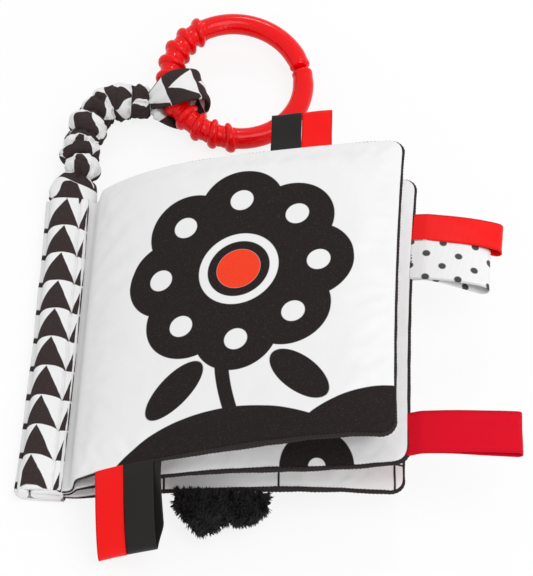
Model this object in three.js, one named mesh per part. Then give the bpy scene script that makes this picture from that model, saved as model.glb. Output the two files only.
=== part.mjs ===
// Cloth baby book: three padded leaves sewn into a spine sleeve, ribbon tags in the leaf seams,
// a plush tail, and a gathered strap whose end loop holds a ribbed plastic ring.
// Millimetres. Origin: centre of the sleeve's flat underside. +X runs from the spine to the free
// edges, +Y along the spine towards the strap, +Z up.

import * as THREE from 'three';

// Leaves
const PAGE_HEIGHT = 122;
const FRONT_LEAF_LENGTH = 117;
const MIDDLE_LEAF_LENGTH = 117.5;
const BACK_LEAF_LENGTH = 113.5;
const PAGE_CORNER_RADIUS = 5.5;
const SIDE_DRAW_IN = 1.2;
const LEAF_THICKNESS = 4.8;
const PANEL_CLOTH = 0.6;
const LAYER_GAP = 0.3;
const WADDING_INSET = 4.8;
const EDGING_DIAMETER = 2;
const EDGING_GAP = 0.3;

// Spine sleeve and the unpadded leaf margins sewn into it
const SLEEVE_WIDTH = 19;
const SLEEVE_THICKNESS = 10;
const SLEEVE_CLOTH = 1.8;
const MARGIN_THICKNESS = 1.5;
const MARGIN_SEWN_DEPTH = 14;
const MARGIN_GAP = 0.4;
const TURN_LINE_REACH = 5;
const FIXED_GAP = 0.3;
const TURN_GAP = 0.3;
const FRONT_TURN_HEIGHT = 16.5;
const MIDDLE_TURN_HEIGHT = 9.5;
const BACK_TURN_HEIGHT = 3.4;

// Gathered strap
const STRAP_REACH = 48;
const STRAP_REST_HEIGHT = 7.6;
const GATHER_NECK_DIAMETER = 6;
const GATHER_DIAMETER = 10.6;
const PUFF_DIAMETER = 14.6;
const BASE_PUFF_WIDTH = 17.6;
const BASE_PUFF_HEIGHT = 9.2;
const STRAP_BORE_DIAMETER = 4.4;
const ELASTIC_DIAMETER = 3.2;
const STRAP_JOINT_GAP = 1.8;
const STRAP_END_GAP = 2.6;

// Plastic ring
const RING_OUTER_DIAMETER = 59;
const RING_TUBE_DIAMETER = 8;
const RIB_DIAMETER = 11.2;
const RIB_WIDTH = 3.4;
const RING_SPLIT_GAP = 0.5;
const RING_CENTRE_X = 59.7;
const RING_CENTRE_OUT = 59.5;
const RING_CENTRE_HEIGHT = 8.1;

// Cloth loop that joins the strap to the ring
const LOOP_BAND_WIDTH = 13;
const LOOP_CLOTH = 1.2;
const LOOP_EYE_LENGTH = 18.4;
const LOOP_EYE_HEIGHT = 13.2;
const LOOP_NECK_HEIGHT = 5.2;
const LOOP_NECK_LENGTH = 2.6;
const LOOP_NECK_START = 1.9;
const LOOP_NECK_WIDTH_SHARE = 0.36;
const LOOP_PIVOT_CLEARANCE = 4;

// Ribbon tags: width, length, opening and droop of each folded loop
const RIBBON_THICKNESS = 0.6;
const FOLD_ROUND_SHARE = 1.3;
const TAG_SEAT_GAP = 0.4;
const TAG_SIDE_GAP = 0.4;
const NARROW_RIBBON = 11;
const SIDE_RIBBON = 12;
const DOTTED_RIBBON = 17.5;
const WOVEN_TAPE = 17;
const TOP_TAG_LENGTH = 15;
const RED_SIDE_TAG_LENGTH = 31;
const DOTTED_TAG_LENGTH = 27;
const WOVEN_TAG_LENGTH = 36;
const BOTTOM_TAG_LENGTH = 30;
const FLAT_TAG_OPENING = 2;
const SOFT_TAG_OPENING = 3.2;
const BOTTOM_TAG_OPENING = 6;
const TOP_TAGS_FROM_TURN = 68.5;
const BOTTOM_TAGS_FROM_TURN = 7.6;
const SIDE_TAGS_FROM_FAR_CORNER = 28;
const WOVEN_TAG_FROM_NEAR_CORNER = 12.2;

// Plush tail
const TAIL_LENGTH = 35;
const TAIL_DEPTH = 15;
const TAIL_HEIGHT = 16.2;
const TAIL_FROM_TURN = 50;
const TAIL_FLOOR_GAP = 0.1;

// Angles in degrees. First the leaves' slopes in side view, at equal steps from turn line to
// free edge.
const FRONT_NEAR_ANGLES = [34, 25, 22, 21.5, 20.5, 15, 0];
const FRONT_FAR_ANGLES = [47, 33, 21, 15.5, 13, 10, 4];
const MIDDLE_NEAR_ANGLES = [22, 19, 14.5, 9.5, 9, 15.5, 24];
const MIDDLE_FAR_ANGLES = [22, 17, 12, 9, 7.5, 7, 6];
const BACK_NEAR_ANGLES = [13, 11, 8, 7, 6.5, 3.5, 0];
const BACK_FAR_ANGLES = [-3, -2, -1, -0.5, 0, -0.5, -1];

// The ring's tilt, the loop's place round it, its ribs and its split.
const RING_FAR_TILT_ANGLE = 6;
const RING_LEFT_TILT_ANGLE = 4.7;
const LOOP_ANGLE = 202;
const FIRST_RIB_ANGLE = 129;
const LAST_RIB_ANGLE = 266;
const RIB_LEAN_ANGLE = 15;
const RING_SPLIT_ANGLE = 17;

// The lean of the strap's puffs, and the droop of each ribbon tag from its root to its fold.
const PUFF_LEAN_ANGLE = 9;
const TOP_TAG_DROOP_ANGLES = [4, -6];
const BOTTOM_TAG_DROOP_ANGLES = [26, 66];
const RED_SIDE_DROOP_ANGLES = [12, 30];
const DOTTED_DROOP_ANGLES = [14, 32];
const WOVEN_DROOP_ANGLES = [24, 34];

// Counts of ribs, and of facets round each kind of tube
const RIB_COUNT = 11;
const RING_SIDES = 10;
const GATHER_SIDES = 12;
const CORD_SIDES = 8;
const EDGING_SIDES = 6;
const TAIL_SIDES = 10;

// Across a rib: how far along its half width, and how much of its height stands there
const RIB_PROFILE_SHARES = [[-1, 0], [-0.55, 0.75], [0, 1], [0.55, 0.75], [1, 0]];
const RIB_CLEAR_SHARE = 1.6;

// At a rounded end of the ring: how far in, and how thick, as shares of the tube's radius
const RING_END_SHARES = [[0, 0.45], [0.12, 0.75], [0.35, 0.93], [0.8, 1]];

// How the unpadded margins rise between the sleeve's mouth and the turn line
const MARGIN_RUN_SHARE = 0.42;
const MARGIN_RISE_SHARES = [0.03, 0.26];

// The strap's route as shares of its reach, in plan, from the sleeve's end
const STRAP_ROUTE_SHARES = [
  [0, 0], [0.05, 0.14], [0.085, 0.28], [0.066, 0.44], [0.07, 0.61], [0.12, 0.78],
  [0.215, 0.92], [0.345, 0.985], [0.46, 0.99],
];
const STRAP_BASE_SHARES = [0, 0.19];
const STRAP_LOWER_SHARES = [0.19, 0.6];
const STRAP_UPPER_SHARES = [0.6, 1];
const LOWER_PUFF_SHARES = [0.93, 1, 0.96, 1];
const UPPER_PUFF_SHARES = [0.98, 0.96, 0.92, 0.8];
const PUFF_SWELL_POWER = 0.7;
const BASE_SWELL_POWER = 2.6;
const BASE_SWELL_SHARE = 0.12;
const TAIL_BOW_SHARE = 0.2;
const TAIL_SWELL_SHARES = [0.3, 0.72, 0.95, 1, 0.9, 0.78, 0.86, 0.97, 0.9, 0.66, 0.28];

const degrees = THREE.MathUtils.degToRad;
const halfHeight = PAGE_HEIGHT / 2;
const turnLineX = SLEEVE_WIDTH / 2 + TURN_LINE_REACH;
const edgingRadius = EDGING_DIAMETER / 2;
const rimHalf = PANEL_CLOTH + LAYER_GAP / 2;

// Finishes
const finishes = {
  pageCloth: { color: 0xf2f0ee, roughness: 0.9, metalness: 0 },
  innerCloth: { color: 0xe7e1df, roughness: 0.9, metalness: 0 },
  wadding: { color: 0xf7f6f2, roughness: 1, metalness: 0 },
  edging: { color: 0x1d1b1c, roughness: 0.85, metalness: 0 },
  printedFleece: { color: 0x6f6a6b, roughness: 0.95, metalness: 0 },
  elastic: { color: 0xf0efe9, roughness: 0.8, metalness: 0 },
  ringPlastic: { color: 0xd8101a, roughness: 0.28, metalness: 0 },
  redRibbon: { color: 0xd4161c, roughness: 0.5, metalness: 0 },
  blackRibbon: { color: 0x232323, roughness: 0.5, metalness: 0 },
  dottedRibbon: { color: 0xf1efee, roughness: 0.45, metalness: 0 },
  redTape: { color: 0xc60f22, roughness: 0.65, metalness: 0 },
  plush: { color: 0x141314, roughness: 1, metalness: 0 },
};

const book = new THREE.Group();

function piece(name, finish, geometry, parent = book) {
  const mesh = new THREE.Mesh(geometry, new THREE.MeshStandardMaterial(finishes[finish]));
  mesh.name = name;
  parent.add(mesh);
  return mesh;
}

// A closed body from points and triangles, turned to face outwards by the sign of its volume.
function closedBody(points, triangles) {
  const fan = new THREE.Vector3();
  let volume = 0;
  for (const [a, b, c] of triangles) {
    volume += points[a].dot(fan.crossVectors(points[b], points[c]));
  }
  const facing = volume < 0 ? triangles.map(([a, b, c]) => [a, c, b]) : triangles;
  const geometry = new THREE.BufferGeometry();
  geometry.setAttribute('position',
    new THREE.Float32BufferAttribute(points.flatMap((point) => point.toArray()), 3));
  geometry.setIndex(facing.flat());
  geometry.computeVertexNormals();
  return geometry;
}

// A closed sheet: one grid of points on its face, one on its back, and a wall round the rim.
function sheet(alongShares, acrossShares, facePoint, backPoint) {
  const rows = alongShares.length;
  const columns = acrossShares.length;
  const grid = (place) => alongShares.flatMap((u) => acrossShares.map((v) => place(u, v)));
  const points = [...grid(facePoint), ...grid(backPoint)];
  const back = rows * columns;
  const triangles = [];
  for (let i = 0; i < rows - 1; i += 1) {
    for (let j = 0; j < columns - 1; j += 1) {
      const a = i * columns + j;
      const b = a + columns;
      triangles.push([a, b, b + 1], [a, b + 1, a + 1]);
      triangles.push([back + a, back + b + 1, back + b], [back + a, back + a + 1, back + b + 1]);
    }
  }
  const rim = [];
  for (let j = 0; j < columns - 1; j += 1) rim.push(j);
  for (let i = 0; i < rows - 1; i += 1) rim.push(i * columns + columns - 1);
  for (let j = columns - 1; j > 0; j -= 1) rim.push((rows - 1) * columns + j);
  for (let i = rows - 1; i > 0; i -= 1) rim.push(i * columns);
  rim.forEach((a, k) => {
    const b = rim[(k + 1) % rim.length];
    triangles.push([a, b, back + b], [a, back + b, back + a]);
  });
  return closedBody(points, triangles);
}

// A loft through rings of equal count. Its ends are capped, or joined to each other for a bore.
function loft(rings, joined = false) {
  const sides = rings[0].length;
  const points = rings.flat();
  const triangles = [];
  const spans = joined ? rings.length : rings.length - 1;
  for (let i = 0; i < spans; i += 1) {
    const from = i * sides;
    const to = ((i + 1) % rings.length) * sides;
    for (let j = 0; j < sides; j += 1) {
      const next = (j + 1) % sides;
      triangles.push([from + j, to + j, to + next], [from + j, to + next, from + next]);
    }
  }
  if (!joined) {
    const last = (rings.length - 1) * sides;
    for (let j = 1; j < sides - 1; j += 1) {
      triangles.push([0, j, j + 1], [last, last + j + 1, last + j]);
    }
  }
  return closedBody(points, triangles);
}

// A round or oval ring of points about a centre, square to a direction.
function ovalRing(centre, direction, up, halfWide, halfHigh, sides) {
  const side = new THREE.Vector3().crossVectors(direction, up).normalize();
  const rise = new THREE.Vector3().crossVectors(side, direction).normalize();
  return Array.from({ length: sides }, (_, k) => {
    const turn = (2 * Math.PI * (k + 0.5)) / sides;
    return centre.clone()
      .addScaledVector(side, halfWide * Math.cos(turn))
      .addScaledVector(rise, halfHigh * Math.sin(turn));
  });
}

function equalShares(count) {
  return Array.from({ length: count + 1 }, (_, k) => k / count);
}

// Side view of a leaf edge: its slope runs evenly between the listed angles, and the curve
// carries on straight past both ends.
function leafProfile(turnHeight, length, slopes) {
  const spans = slopes.length - 1;
  const finePerSpan = 8;
  const count = spans * finePerSpan;
  const step = length / count;
  const slopeAt = (share) => {
    const place = THREE.MathUtils.clamp(share, 0, 1) * spans;
    const k = Math.min(Math.floor(place), spans - 1);
    return degrees(THREE.MathUtils.lerp(slopes[k], slopes[k + 1], place - k));
  };
  const nodes = [{ x: turnLineX, z: turnHeight }];
  for (let k = 0; k < count; k += 1) {
    const slope = slopeAt((k + 0.5) / count);
    nodes.push({ x: nodes[k].x + step * Math.cos(slope), z: nodes[k].z + step * Math.sin(slope) });
  }
  return (along) => {
    const k = THREE.MathUtils.clamp(Math.floor(along / step), 0, count - 1);
    const spare = along / step - k;
    const slope = slopeAt(along / length);
    return {
      x: nodes[k].x + spare * (nodes[k + 1].x - nodes[k].x),
      z: nodes[k].z + spare * (nodes[k + 1].z - nodes[k].z),
      slope,
    };
  };
}

// A leaf's middle surface, lofted between the profiles of its near and far edges. The flat page
// is a rectangle whose sides draw in a little between the corners.
function leafSurface(turnHeight, length, nearSlopes, farSlopes) {
  const near = leafProfile(turnHeight, length, nearSlopes);
  const far = leafProfile(turnHeight, length, farSlopes);
  const place = (along, across, lift = 0) => {
    const pull = 1 - (SIDE_DRAW_IN / length) * (1 - (across / halfHeight) ** 2);
    const waist = 4 * (along / length) * (1 - along / length);
    const s = along * pull;
    const y = across * (1 - (SIDE_DRAW_IN / halfHeight) * Math.max(waist, 0));
    const share = y / PAGE_HEIGHT + 0.5;
    const a = near(s);
    const b = far(s);
    const slope = THREE.MathUtils.lerp(a.slope, b.slope, share);
    return new THREE.Vector3(
      THREE.MathUtils.lerp(a.x, b.x, share) - lift * Math.sin(slope),
      y,
      THREE.MathUtils.lerp(a.z, b.z, share) + lift * Math.cos(slope),
    );
  };
  // Unit directions on the leaf at a flat place: along the page, across it and out of its face.
  const frame = (along, across) => {
    const small = edgingRadius / 10;
    const here = place(along, across);
    const onward = place(along + small, across).sub(here).normalize();
    const sideways = place(along, across + small).sub(here).normalize();
    const out = new THREE.Vector3().crossVectors(onward, sideways).normalize();
    return { here, onward, sideways, out };
  };
  return { place, frame, length };
}

// How far the page reaches at a height across it: less inside the rounded corners.
function pageReach(length, across) {
  const into = Math.max(0, Math.abs(across) - (halfHeight - PAGE_CORNER_RADIUS));
  const inset = PAGE_CORNER_RADIUS - Math.sqrt(Math.max(0, PAGE_CORNER_RADIUS ** 2 - into ** 2));
  return length - inset;
}

function crown(share, power = 4) {
  return 1 - Math.abs(2 * share - 1) ** power;
}

const cornerShares = [0, 0.134, 0.5, 1].map((share) => (share * PAGE_CORNER_RADIUS) / PAGE_HEIGHT);
const middleShares = [0.14, 0.26, 0.38, 0.5, 0.62, 0.74, 0.86];
const pageAcrossShares = [
  ...cornerShares, ...middleShares, ...cornerShares.map((share) => 1 - share).reverse(),
];
const pageAlongShares = [0, 0.03, 0.09, 0.18, 0.3, 0.42, 0.54, 0.66, 0.77, 0.87, 0.94, 0.98, 1];

// Four layers of one leaf: two cloth panels, the wadding between them and the sewn edging.
function leafLayers(name, surface, start, parent) {
  const flat = (u, v, inset = 0) => {
    const across = (v - 0.5) * (PAGE_HEIGHT - 2 * inset);
    const from = start + inset;
    return { along: from + u * (pageReach(surface.length, across) - inset - from), across };
  };
  const halfThick = (u, v) => rimHalf + (LEAF_THICKNESS / 2 - rimHalf) * crown(u) * crown(v);
  const layer = (side, depth) => (u, v) => {
    const { along, across } = flat(u, v);
    return surface.place(along, across, side * (halfThick(u, v) - depth));
  };
  piece(`${name}_front_panel`, 'pageCloth',
    sheet(pageAlongShares, pageAcrossShares, layer(1, 0), layer(1, PANEL_CLOTH)), parent);
  piece(`${name}_back_panel`, 'innerCloth',
    sheet(pageAlongShares, pageAcrossShares, layer(-1, 0), layer(-1, PANEL_CLOTH)), parent);

  const waddingHalf = (along, across) => {
    const su = THREE.MathUtils.clamp((along - start) / (surface.length - start), 0, 1);
    const sv = THREE.MathUtils.clamp(across / PAGE_HEIGHT + 0.5, 0, 1);
    const room = halfThick(su, sv) - PANEL_CLOTH;
    return Math.max(room - LAYER_GAP, room / 2);
  };
  const fill = (side) => (u, v) => {
    const { along, across } = flat(u, v, WADDING_INSET);
    return surface.place(along, across, side * waddingHalf(along, across));
  };
  piece(`${name}_wadding`, 'wadding',
    sheet(equalShares(9), equalShares(8), fill(1), fill(-1)), parent);

  const out = EDGING_GAP + edgingRadius;
  const reach = surface.length - PAGE_CORNER_RADIUS;
  const route = [];
  for (const share of equalShares(12)) {
    route.push([start + share * (reach - start), -halfHeight - out]);
  }
  for (const turn of [22.5, 45, 67.5, 90]) {
    route.push([
      reach + (PAGE_CORNER_RADIUS + out) * Math.sin(degrees(turn)),
      -halfHeight + PAGE_CORNER_RADIUS - (PAGE_CORNER_RADIUS + out) * Math.cos(degrees(turn)),
    ]);
  }
  const freeHalf = halfHeight - PAGE_CORNER_RADIUS;
  for (const share of equalShares(9).slice(1, -1)) {
    route.push([surface.length + out, (2 * share - 1) * freeHalf]);
  }
  const mirrored = route.slice(0, 17).map(([along, across]) => [along, -across]).reverse();
  const path = [...route, ...mirrored].map(([along, across]) => surface.frame(along, across));
  const rings = path.map(({ here, out: up }, k) => {
    const before = path[Math.max(k - 1, 0)].here;
    const after = path[Math.min(k + 1, path.length - 1)].here;
    const direction = after.clone().sub(before).normalize();
    return ovalRing(here, direction, up, edgingRadius, edgingRadius, EDGING_SIDES);
  });
  piece(`${name}_edging`, 'edging', loft(rings), parent);
}

// The unpadded margin of a leaf: sewn flat inside the sleeve, then rising to meet the leaf's own
// slope at the turn line.
function leafMargin(name, sewnHeight, surface, endGap) {
  const mouth = SLEEVE_WIDTH / 2;
  const end = surface.place(-endGap, 0);
  const rise = end.z - sewnHeight;
  const run = end.x - mouth;
  const route = new THREE.CatmullRomCurve3([
    new THREE.Vector3(mouth - MARGIN_SEWN_DEPTH, 0, sewnHeight),
    new THREE.Vector3(mouth - MARGIN_SEWN_DEPTH / 2, 0, sewnHeight),
    new THREE.Vector3(mouth, 0, sewnHeight + rise * MARGIN_RISE_SHARES[0]),
    new THREE.Vector3(mouth + run * MARGIN_RUN_SHARE, 0, sewnHeight + rise * MARGIN_RISE_SHARES[1]),
    end,
  ]);
  const side = (sign) => (u, v) => {
    const across = (v - 0.5) * PAGE_HEIGHT;
    const lift = (sign * MARGIN_THICKNESS) / 2;
    if (u === 1) return surface.place(-endGap, across, lift);
    const point = route.getPoint(u);
    const tangent = route.getTangent(u);
    return new THREE.Vector3(point.x - lift * tangent.z, across, point.z + lift * tangent.x);
  };
  piece(name, 'pageCloth', sheet(equalShares(12), [0, 1], side(1), side(-1)));
}

function spineSleeve() {
  const round = SLEEVE_THICKNESS / 2;
  const foldX = -SLEEVE_WIDTH / 2 + round;
  const lip = SLEEVE_CLOTH / 2;
  const lipX = SLEEVE_WIDTH / 2 - lip;
  const section = new THREE.Shape();
  section.moveTo(lipX, 0);
  section.lineTo(foldX, 0);
  section.absarc(foldX, round, round, -Math.PI / 2, Math.PI / 2, true);
  section.lineTo(lipX, SLEEVE_THICKNESS);
  section.absarc(lipX, SLEEVE_THICKNESS - lip, lip, Math.PI / 2, -Math.PI / 2, true);
  section.lineTo(foldX, SLEEVE_THICKNESS - SLEEVE_CLOTH);
  section.absarc(foldX, round, round - SLEEVE_CLOTH, Math.PI / 2, -Math.PI / 2, false);
  section.lineTo(lipX, SLEEVE_CLOTH);
  section.absarc(lipX, lip, lip, Math.PI / 2, -Math.PI / 2, true);
  const geometry = new THREE.ExtrudeGeometry(section, {
    depth: PAGE_HEIGHT, bevelEnabled: false, curveSegments: 8,
  });
  geometry.rotateX(Math.PI / 2);
  geometry.translate(0, halfHeight, 0);
  piece('spine_sleeve', 'printedFleece', geometry);
}

// The ring lies in its own tilted frame, shared with the loop that it runs through.
const ringFrame = new THREE.Group();
ringFrame.position.set(RING_CENTRE_X, halfHeight + RING_CENTRE_OUT, RING_CENTRE_HEIGHT);
ringFrame.rotation.set(degrees(RING_FAR_TILT_ANGLE), degrees(RING_LEFT_TILT_ANGLE), 0);
ringFrame.updateMatrixWorld(true);
book.add(ringFrame);

// The loop swings about a pivot just outside the ring's ribs.
const pivotRadius = RING_OUTER_DIAMETER / 2 + (RIB_DIAMETER - RING_TUBE_DIAMETER) / 2
  + LOOP_PIVOT_CLEARANCE;
const loopPivot = new THREE.Vector3(
  pivotRadius * Math.cos(degrees(LOOP_ANGLE)), pivotRadius * Math.sin(degrees(LOOP_ANGLE)), 0,
).applyMatrix4(ringFrame.matrixWorld);

// The strap's centre line, from the sleeve's end to the loop's pivot.
const strapRoute = new THREE.CatmullRomCurve3([
  ...STRAP_ROUTE_SHARES.map(([x, y], k) => new THREE.Vector3(
    x * STRAP_REACH,
    halfHeight + y * STRAP_REACH,
    THREE.MathUtils.lerp(SLEEVE_THICKNESS / 2, STRAP_REST_HEIGHT, Math.min(k / 2, 1)),
  )),
  loopPivot,
], false, 'centripetal');
const up = new THREE.Vector3(0, 0, 1);

// Where a stretch of the strap starts and ends, as shares of the route, clear of its neighbours.
function strapStretch(fromShare, toShare) {
  const length = strapRoute.getLength();
  const startGap = fromShare > 0 ? STRAP_JOINT_GAP / 2 : FIXED_GAP;
  const endGap = toShare < 1 ? STRAP_JOINT_GAP / 2 : STRAP_END_GAP;
  return [fromShare + startGap / length, toShare - endGap / length];
}

// One stretch of gathered tube: swelling puffs between tight gathers, with a bore for the elastic.
function gatheredTube([fromShare, toShare], puffs, sizes, bored) {
  const [from, to] = strapStretch(fromShare, toShare);
  const stations = equalShares(puffs * 5);
  const outer = stations.map((share, k) => {
    const place = share * puffs;
    const size = sizes[Math.min(Math.floor(place), puffs - 1)];
    const atEnd = k === 0 || k === stations.length - 1;
    const gather = (atEnd ? GATHER_NECK_DIAMETER : GATHER_DIAMETER) / 2;
    const swell = Math.abs(Math.sin(Math.PI * place)) ** PUFF_SWELL_POWER;
    const radius = gather + (size / 2 - gather) * swell;
    const at = from + share * (to - from);
    const lean = degrees(PUFF_LEAN_ANGLE) * Math.sin(Math.PI * place);
    const heading = strapRoute.getTangentAt(at).applyAxisAngle(up, atEnd ? 0 : lean);
    return ovalRing(strapRoute.getPointAt(at), heading, up, radius, radius, GATHER_SIDES);
  });
  if (!bored) return loft(outer);
  const inner = [...equalShares(puffs * 2)].reverse().map((share) => {
    const at = from + share * (to - from);
    const radius = STRAP_BORE_DIAMETER / 2;
    return ovalRing(
      strapRoute.getPointAt(at), strapRoute.getTangentAt(at), up, radius, radius, GATHER_SIDES);
  });
  return loft([...outer, ...inner], true);
}

// The rounded tip of a cord, a half ball about a point of the strap's route.
function roundedTip(share, sides) {
  const radius = ELASTIC_DIAMETER / 2;
  const centre = strapRoute.getPointAt(share);
  const heading = strapRoute.getTangentAt(share);
  return [0, 30, 60, 80].map((turn) => {
    const at = centre.clone().addScaledVector(heading, radius * Math.sin(degrees(turn)));
    const size = radius * Math.cos(degrees(turn));
    return ovalRing(at, heading, up, size, size, sides);
  });
}

// The elastic inside a stretch of the strap. It starts clear of the tip before it, and its own
// tip is a half ball about the place where the strap bends, so that the next piece turns on it.
function elasticCord([fromShare, toShare]) {
  const radius = ELASTIC_DIAMETER / 2;
  const from = fromShare + (radius + FIXED_GAP) / strapRoute.getLength();
  const shaft = equalShares(9).slice(0, -1).map((share) => {
    const at = from + share * (toShare - from);
    return ovalRing(
      strapRoute.getPointAt(at), strapRoute.getTangentAt(at), up, radius, radius, CORD_SIDES);
  });
  return loft([...shaft, ...roundedTip(toShare, CORD_SIDES)]);
}

// The first puff: as wide as the sleeve where it is sewn in, drawn tight at the first gather,
// with the tip of its elastic standing out.
function strapBase() {
  const [from, to] = strapStretch(...STRAP_BASE_SHARES);
  const neck = GATHER_NECK_DIAMETER / 2;
  const puff = equalShares(7).map((share) => {
    const at = from + share * (to - from);
    const bulge = 1 + BASE_SWELL_SHARE * Math.sin(Math.PI * share);
    const swell = bulge * Math.sqrt(1 - share ** BASE_SWELL_POWER);
    const halfWide = neck + (BASE_PUFF_WIDTH / 2 - neck) * swell;
    const halfHigh = neck + (BASE_PUFF_HEIGHT / 2 - neck) * swell;
    const heading = new THREE.Vector3(0, 1, 0).lerp(strapRoute.getTangentAt(at), share);
    return ovalRing(strapRoute.getPointAt(at), heading, up, halfWide, halfHigh, GATHER_SIDES);
  });
  const core = ELASTIC_DIAMETER / 2;
  const shoulder = ovalRing(
    strapRoute.getPointAt(to), strapRoute.getTangentAt(to), up, core, core, GATHER_SIDES);
  return loft([...puff, shoulder, ...roundedTip(STRAP_BASE_SHARES[1], GATHER_SIDES)]);
}

// A round tube bent into a split ring. Ribs stand out round its grip, leaning towards the middle
// of the ribbed stretch on the inside of the ring. Its two ends are rounded.
function splitRing() {
  const tube = RING_TUBE_DIAMETER / 2;
  const rib = RIB_DIAMETER / 2;
  const radius = RING_OUTER_DIAMETER / 2 - tube;
  const toAngle = (length) => THREE.MathUtils.radToDeg(length / radius);
  const begin = RING_SPLIT_ANGLE + toAngle(RING_SPLIT_GAP / 2);
  const end = RING_SPLIT_ANGLE + 360 - toAngle(RING_SPLIT_GAP / 2);
  const middle = (FIRST_RIB_ANGLE + LAST_RIB_ANGLE) / 2;
  const spread = (LAST_RIB_ANGLE - FIRST_RIB_ANGLE) / 2;
  const stations = [];
  for (const [share, size] of RING_END_SHARES) {
    stations.push({ angle: begin + toAngle(share * tube), size: tube * size });
  }
  const plainFrom = begin + toAngle(tube);
  const ribHalf = toAngle(RIB_WIDTH / 2);
  const ribClear = ribHalf * RIB_CLEAR_SHARE;
  for (const share of equalShares(11).slice(1)) {
    stations.push({
      angle: THREE.MathUtils.lerp(plainFrom, FIRST_RIB_ANGLE - ribClear, share), size: tube,
    });
  }
  for (const k of equalShares(RIB_COUNT - 1)) {
    const at = THREE.MathUtils.lerp(FIRST_RIB_ANGLE, LAST_RIB_ANGLE, k);
    for (const [step, swell] of RIB_PROFILE_SHARES) {
      stations.push({ angle: at + step * ribHalf, size: tube + swell * (rib - tube) });
    }
  }
  const plainTo = end - toAngle(tube);
  for (const share of equalShares(11).slice(0, -1)) {
    stations.push({
      angle: THREE.MathUtils.lerp(LAST_RIB_ANGLE + ribClear, plainTo, share), size: tube,
    });
  }
  for (const [share, size] of [...RING_END_SHARES].reverse()) {
    stations.push({ angle: end - toAngle(share * tube), size: tube * size });
  }
  const rings = stations.map(({ angle, size }) => {
    const bias = THREE.MathUtils.clamp((angle - middle) / spread, -1, 1);
    const fade = Math.abs(angle - middle) > spread + ribClear ? 0 : 1;
    const lean = degrees(RIB_LEAN_ANGLE) * bias * fade;
    return Array.from({ length: RING_SIDES }, (_, k) => {
      const turn = (2 * Math.PI * (k + 0.5)) / RING_SIDES;
      const outwards = size * Math.cos(turn);
      const place = radius + outwards;
      const shift = (outwards * Math.tan(lean)) / radius;
      const phi = degrees(angle) + shift;
      return new THREE.Vector3(place * Math.cos(phi), place * Math.sin(phi), size * Math.sin(turn));
    });
  });
  piece('ring', 'ringPlastic', loft(rings), ringFrame);
}

// The loop of cloth round the ring: an eye, and a neck drawn in towards the strap's last gather.
function strapLoop() {
  const halfEye = LOOP_EYE_LENGTH / 2;
  const eyeX = LOOP_NECK_LENGTH + halfEye;
  const halfRise = LOOP_EYE_HEIGHT / 2;
  const halfNeck = LOOP_NECK_HEIGHT / 2;
  const outerLength = halfEye + LOOP_CLOTH;
  const outerRise = halfRise + LOOP_CLOTH;
  const outline = new THREE.Shape();
  outline.moveTo(LOOP_NECK_START, -halfNeck);
  outline.bezierCurveTo(LOOP_NECK_LENGTH, -halfNeck, eyeX - halfEye, -outerRise, eyeX, -outerRise);
  outline.absellipse(eyeX, 0, outerLength, outerRise, -Math.PI / 2, Math.PI / 2, false);
  outline.bezierCurveTo(
    eyeX - halfEye, outerRise, LOOP_NECK_LENGTH, halfNeck, LOOP_NECK_START, halfNeck);
  const eye = new THREE.Path();
  eye.absellipse(eyeX, 0, halfEye, halfRise, 0, 2 * Math.PI, true);
  outline.holes.push(eye);
  const geometry = new THREE.ExtrudeGeometry(outline, {
    depth: LOOP_BAND_WIDTH, bevelEnabled: false, curveSegments: 14,
  });
  geometry.translate(0, 0, -LOOP_BAND_WIDTH / 2);
  const position = geometry.getAttribute('position');
  for (let k = 0; k < position.count; k += 1) {
    const share = THREE.MathUtils.clamp(position.getX(k) / eyeX, 0, 1);
    const spread = Math.sin((Math.PI / 2) * share);
    position.setZ(k, position.getZ(k) * THREE.MathUtils.lerp(LOOP_NECK_WIDTH_SHARE, 1, spread));
  }
  geometry.rotateX(Math.PI / 2);
  geometry.translate(-pivotRadius, 0, 0);
  geometry.rotateZ(degrees(LOOP_ANGLE - 180));
  piece('strap_loop', 'printedFleece', geometry, ringFrame);
}

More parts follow.
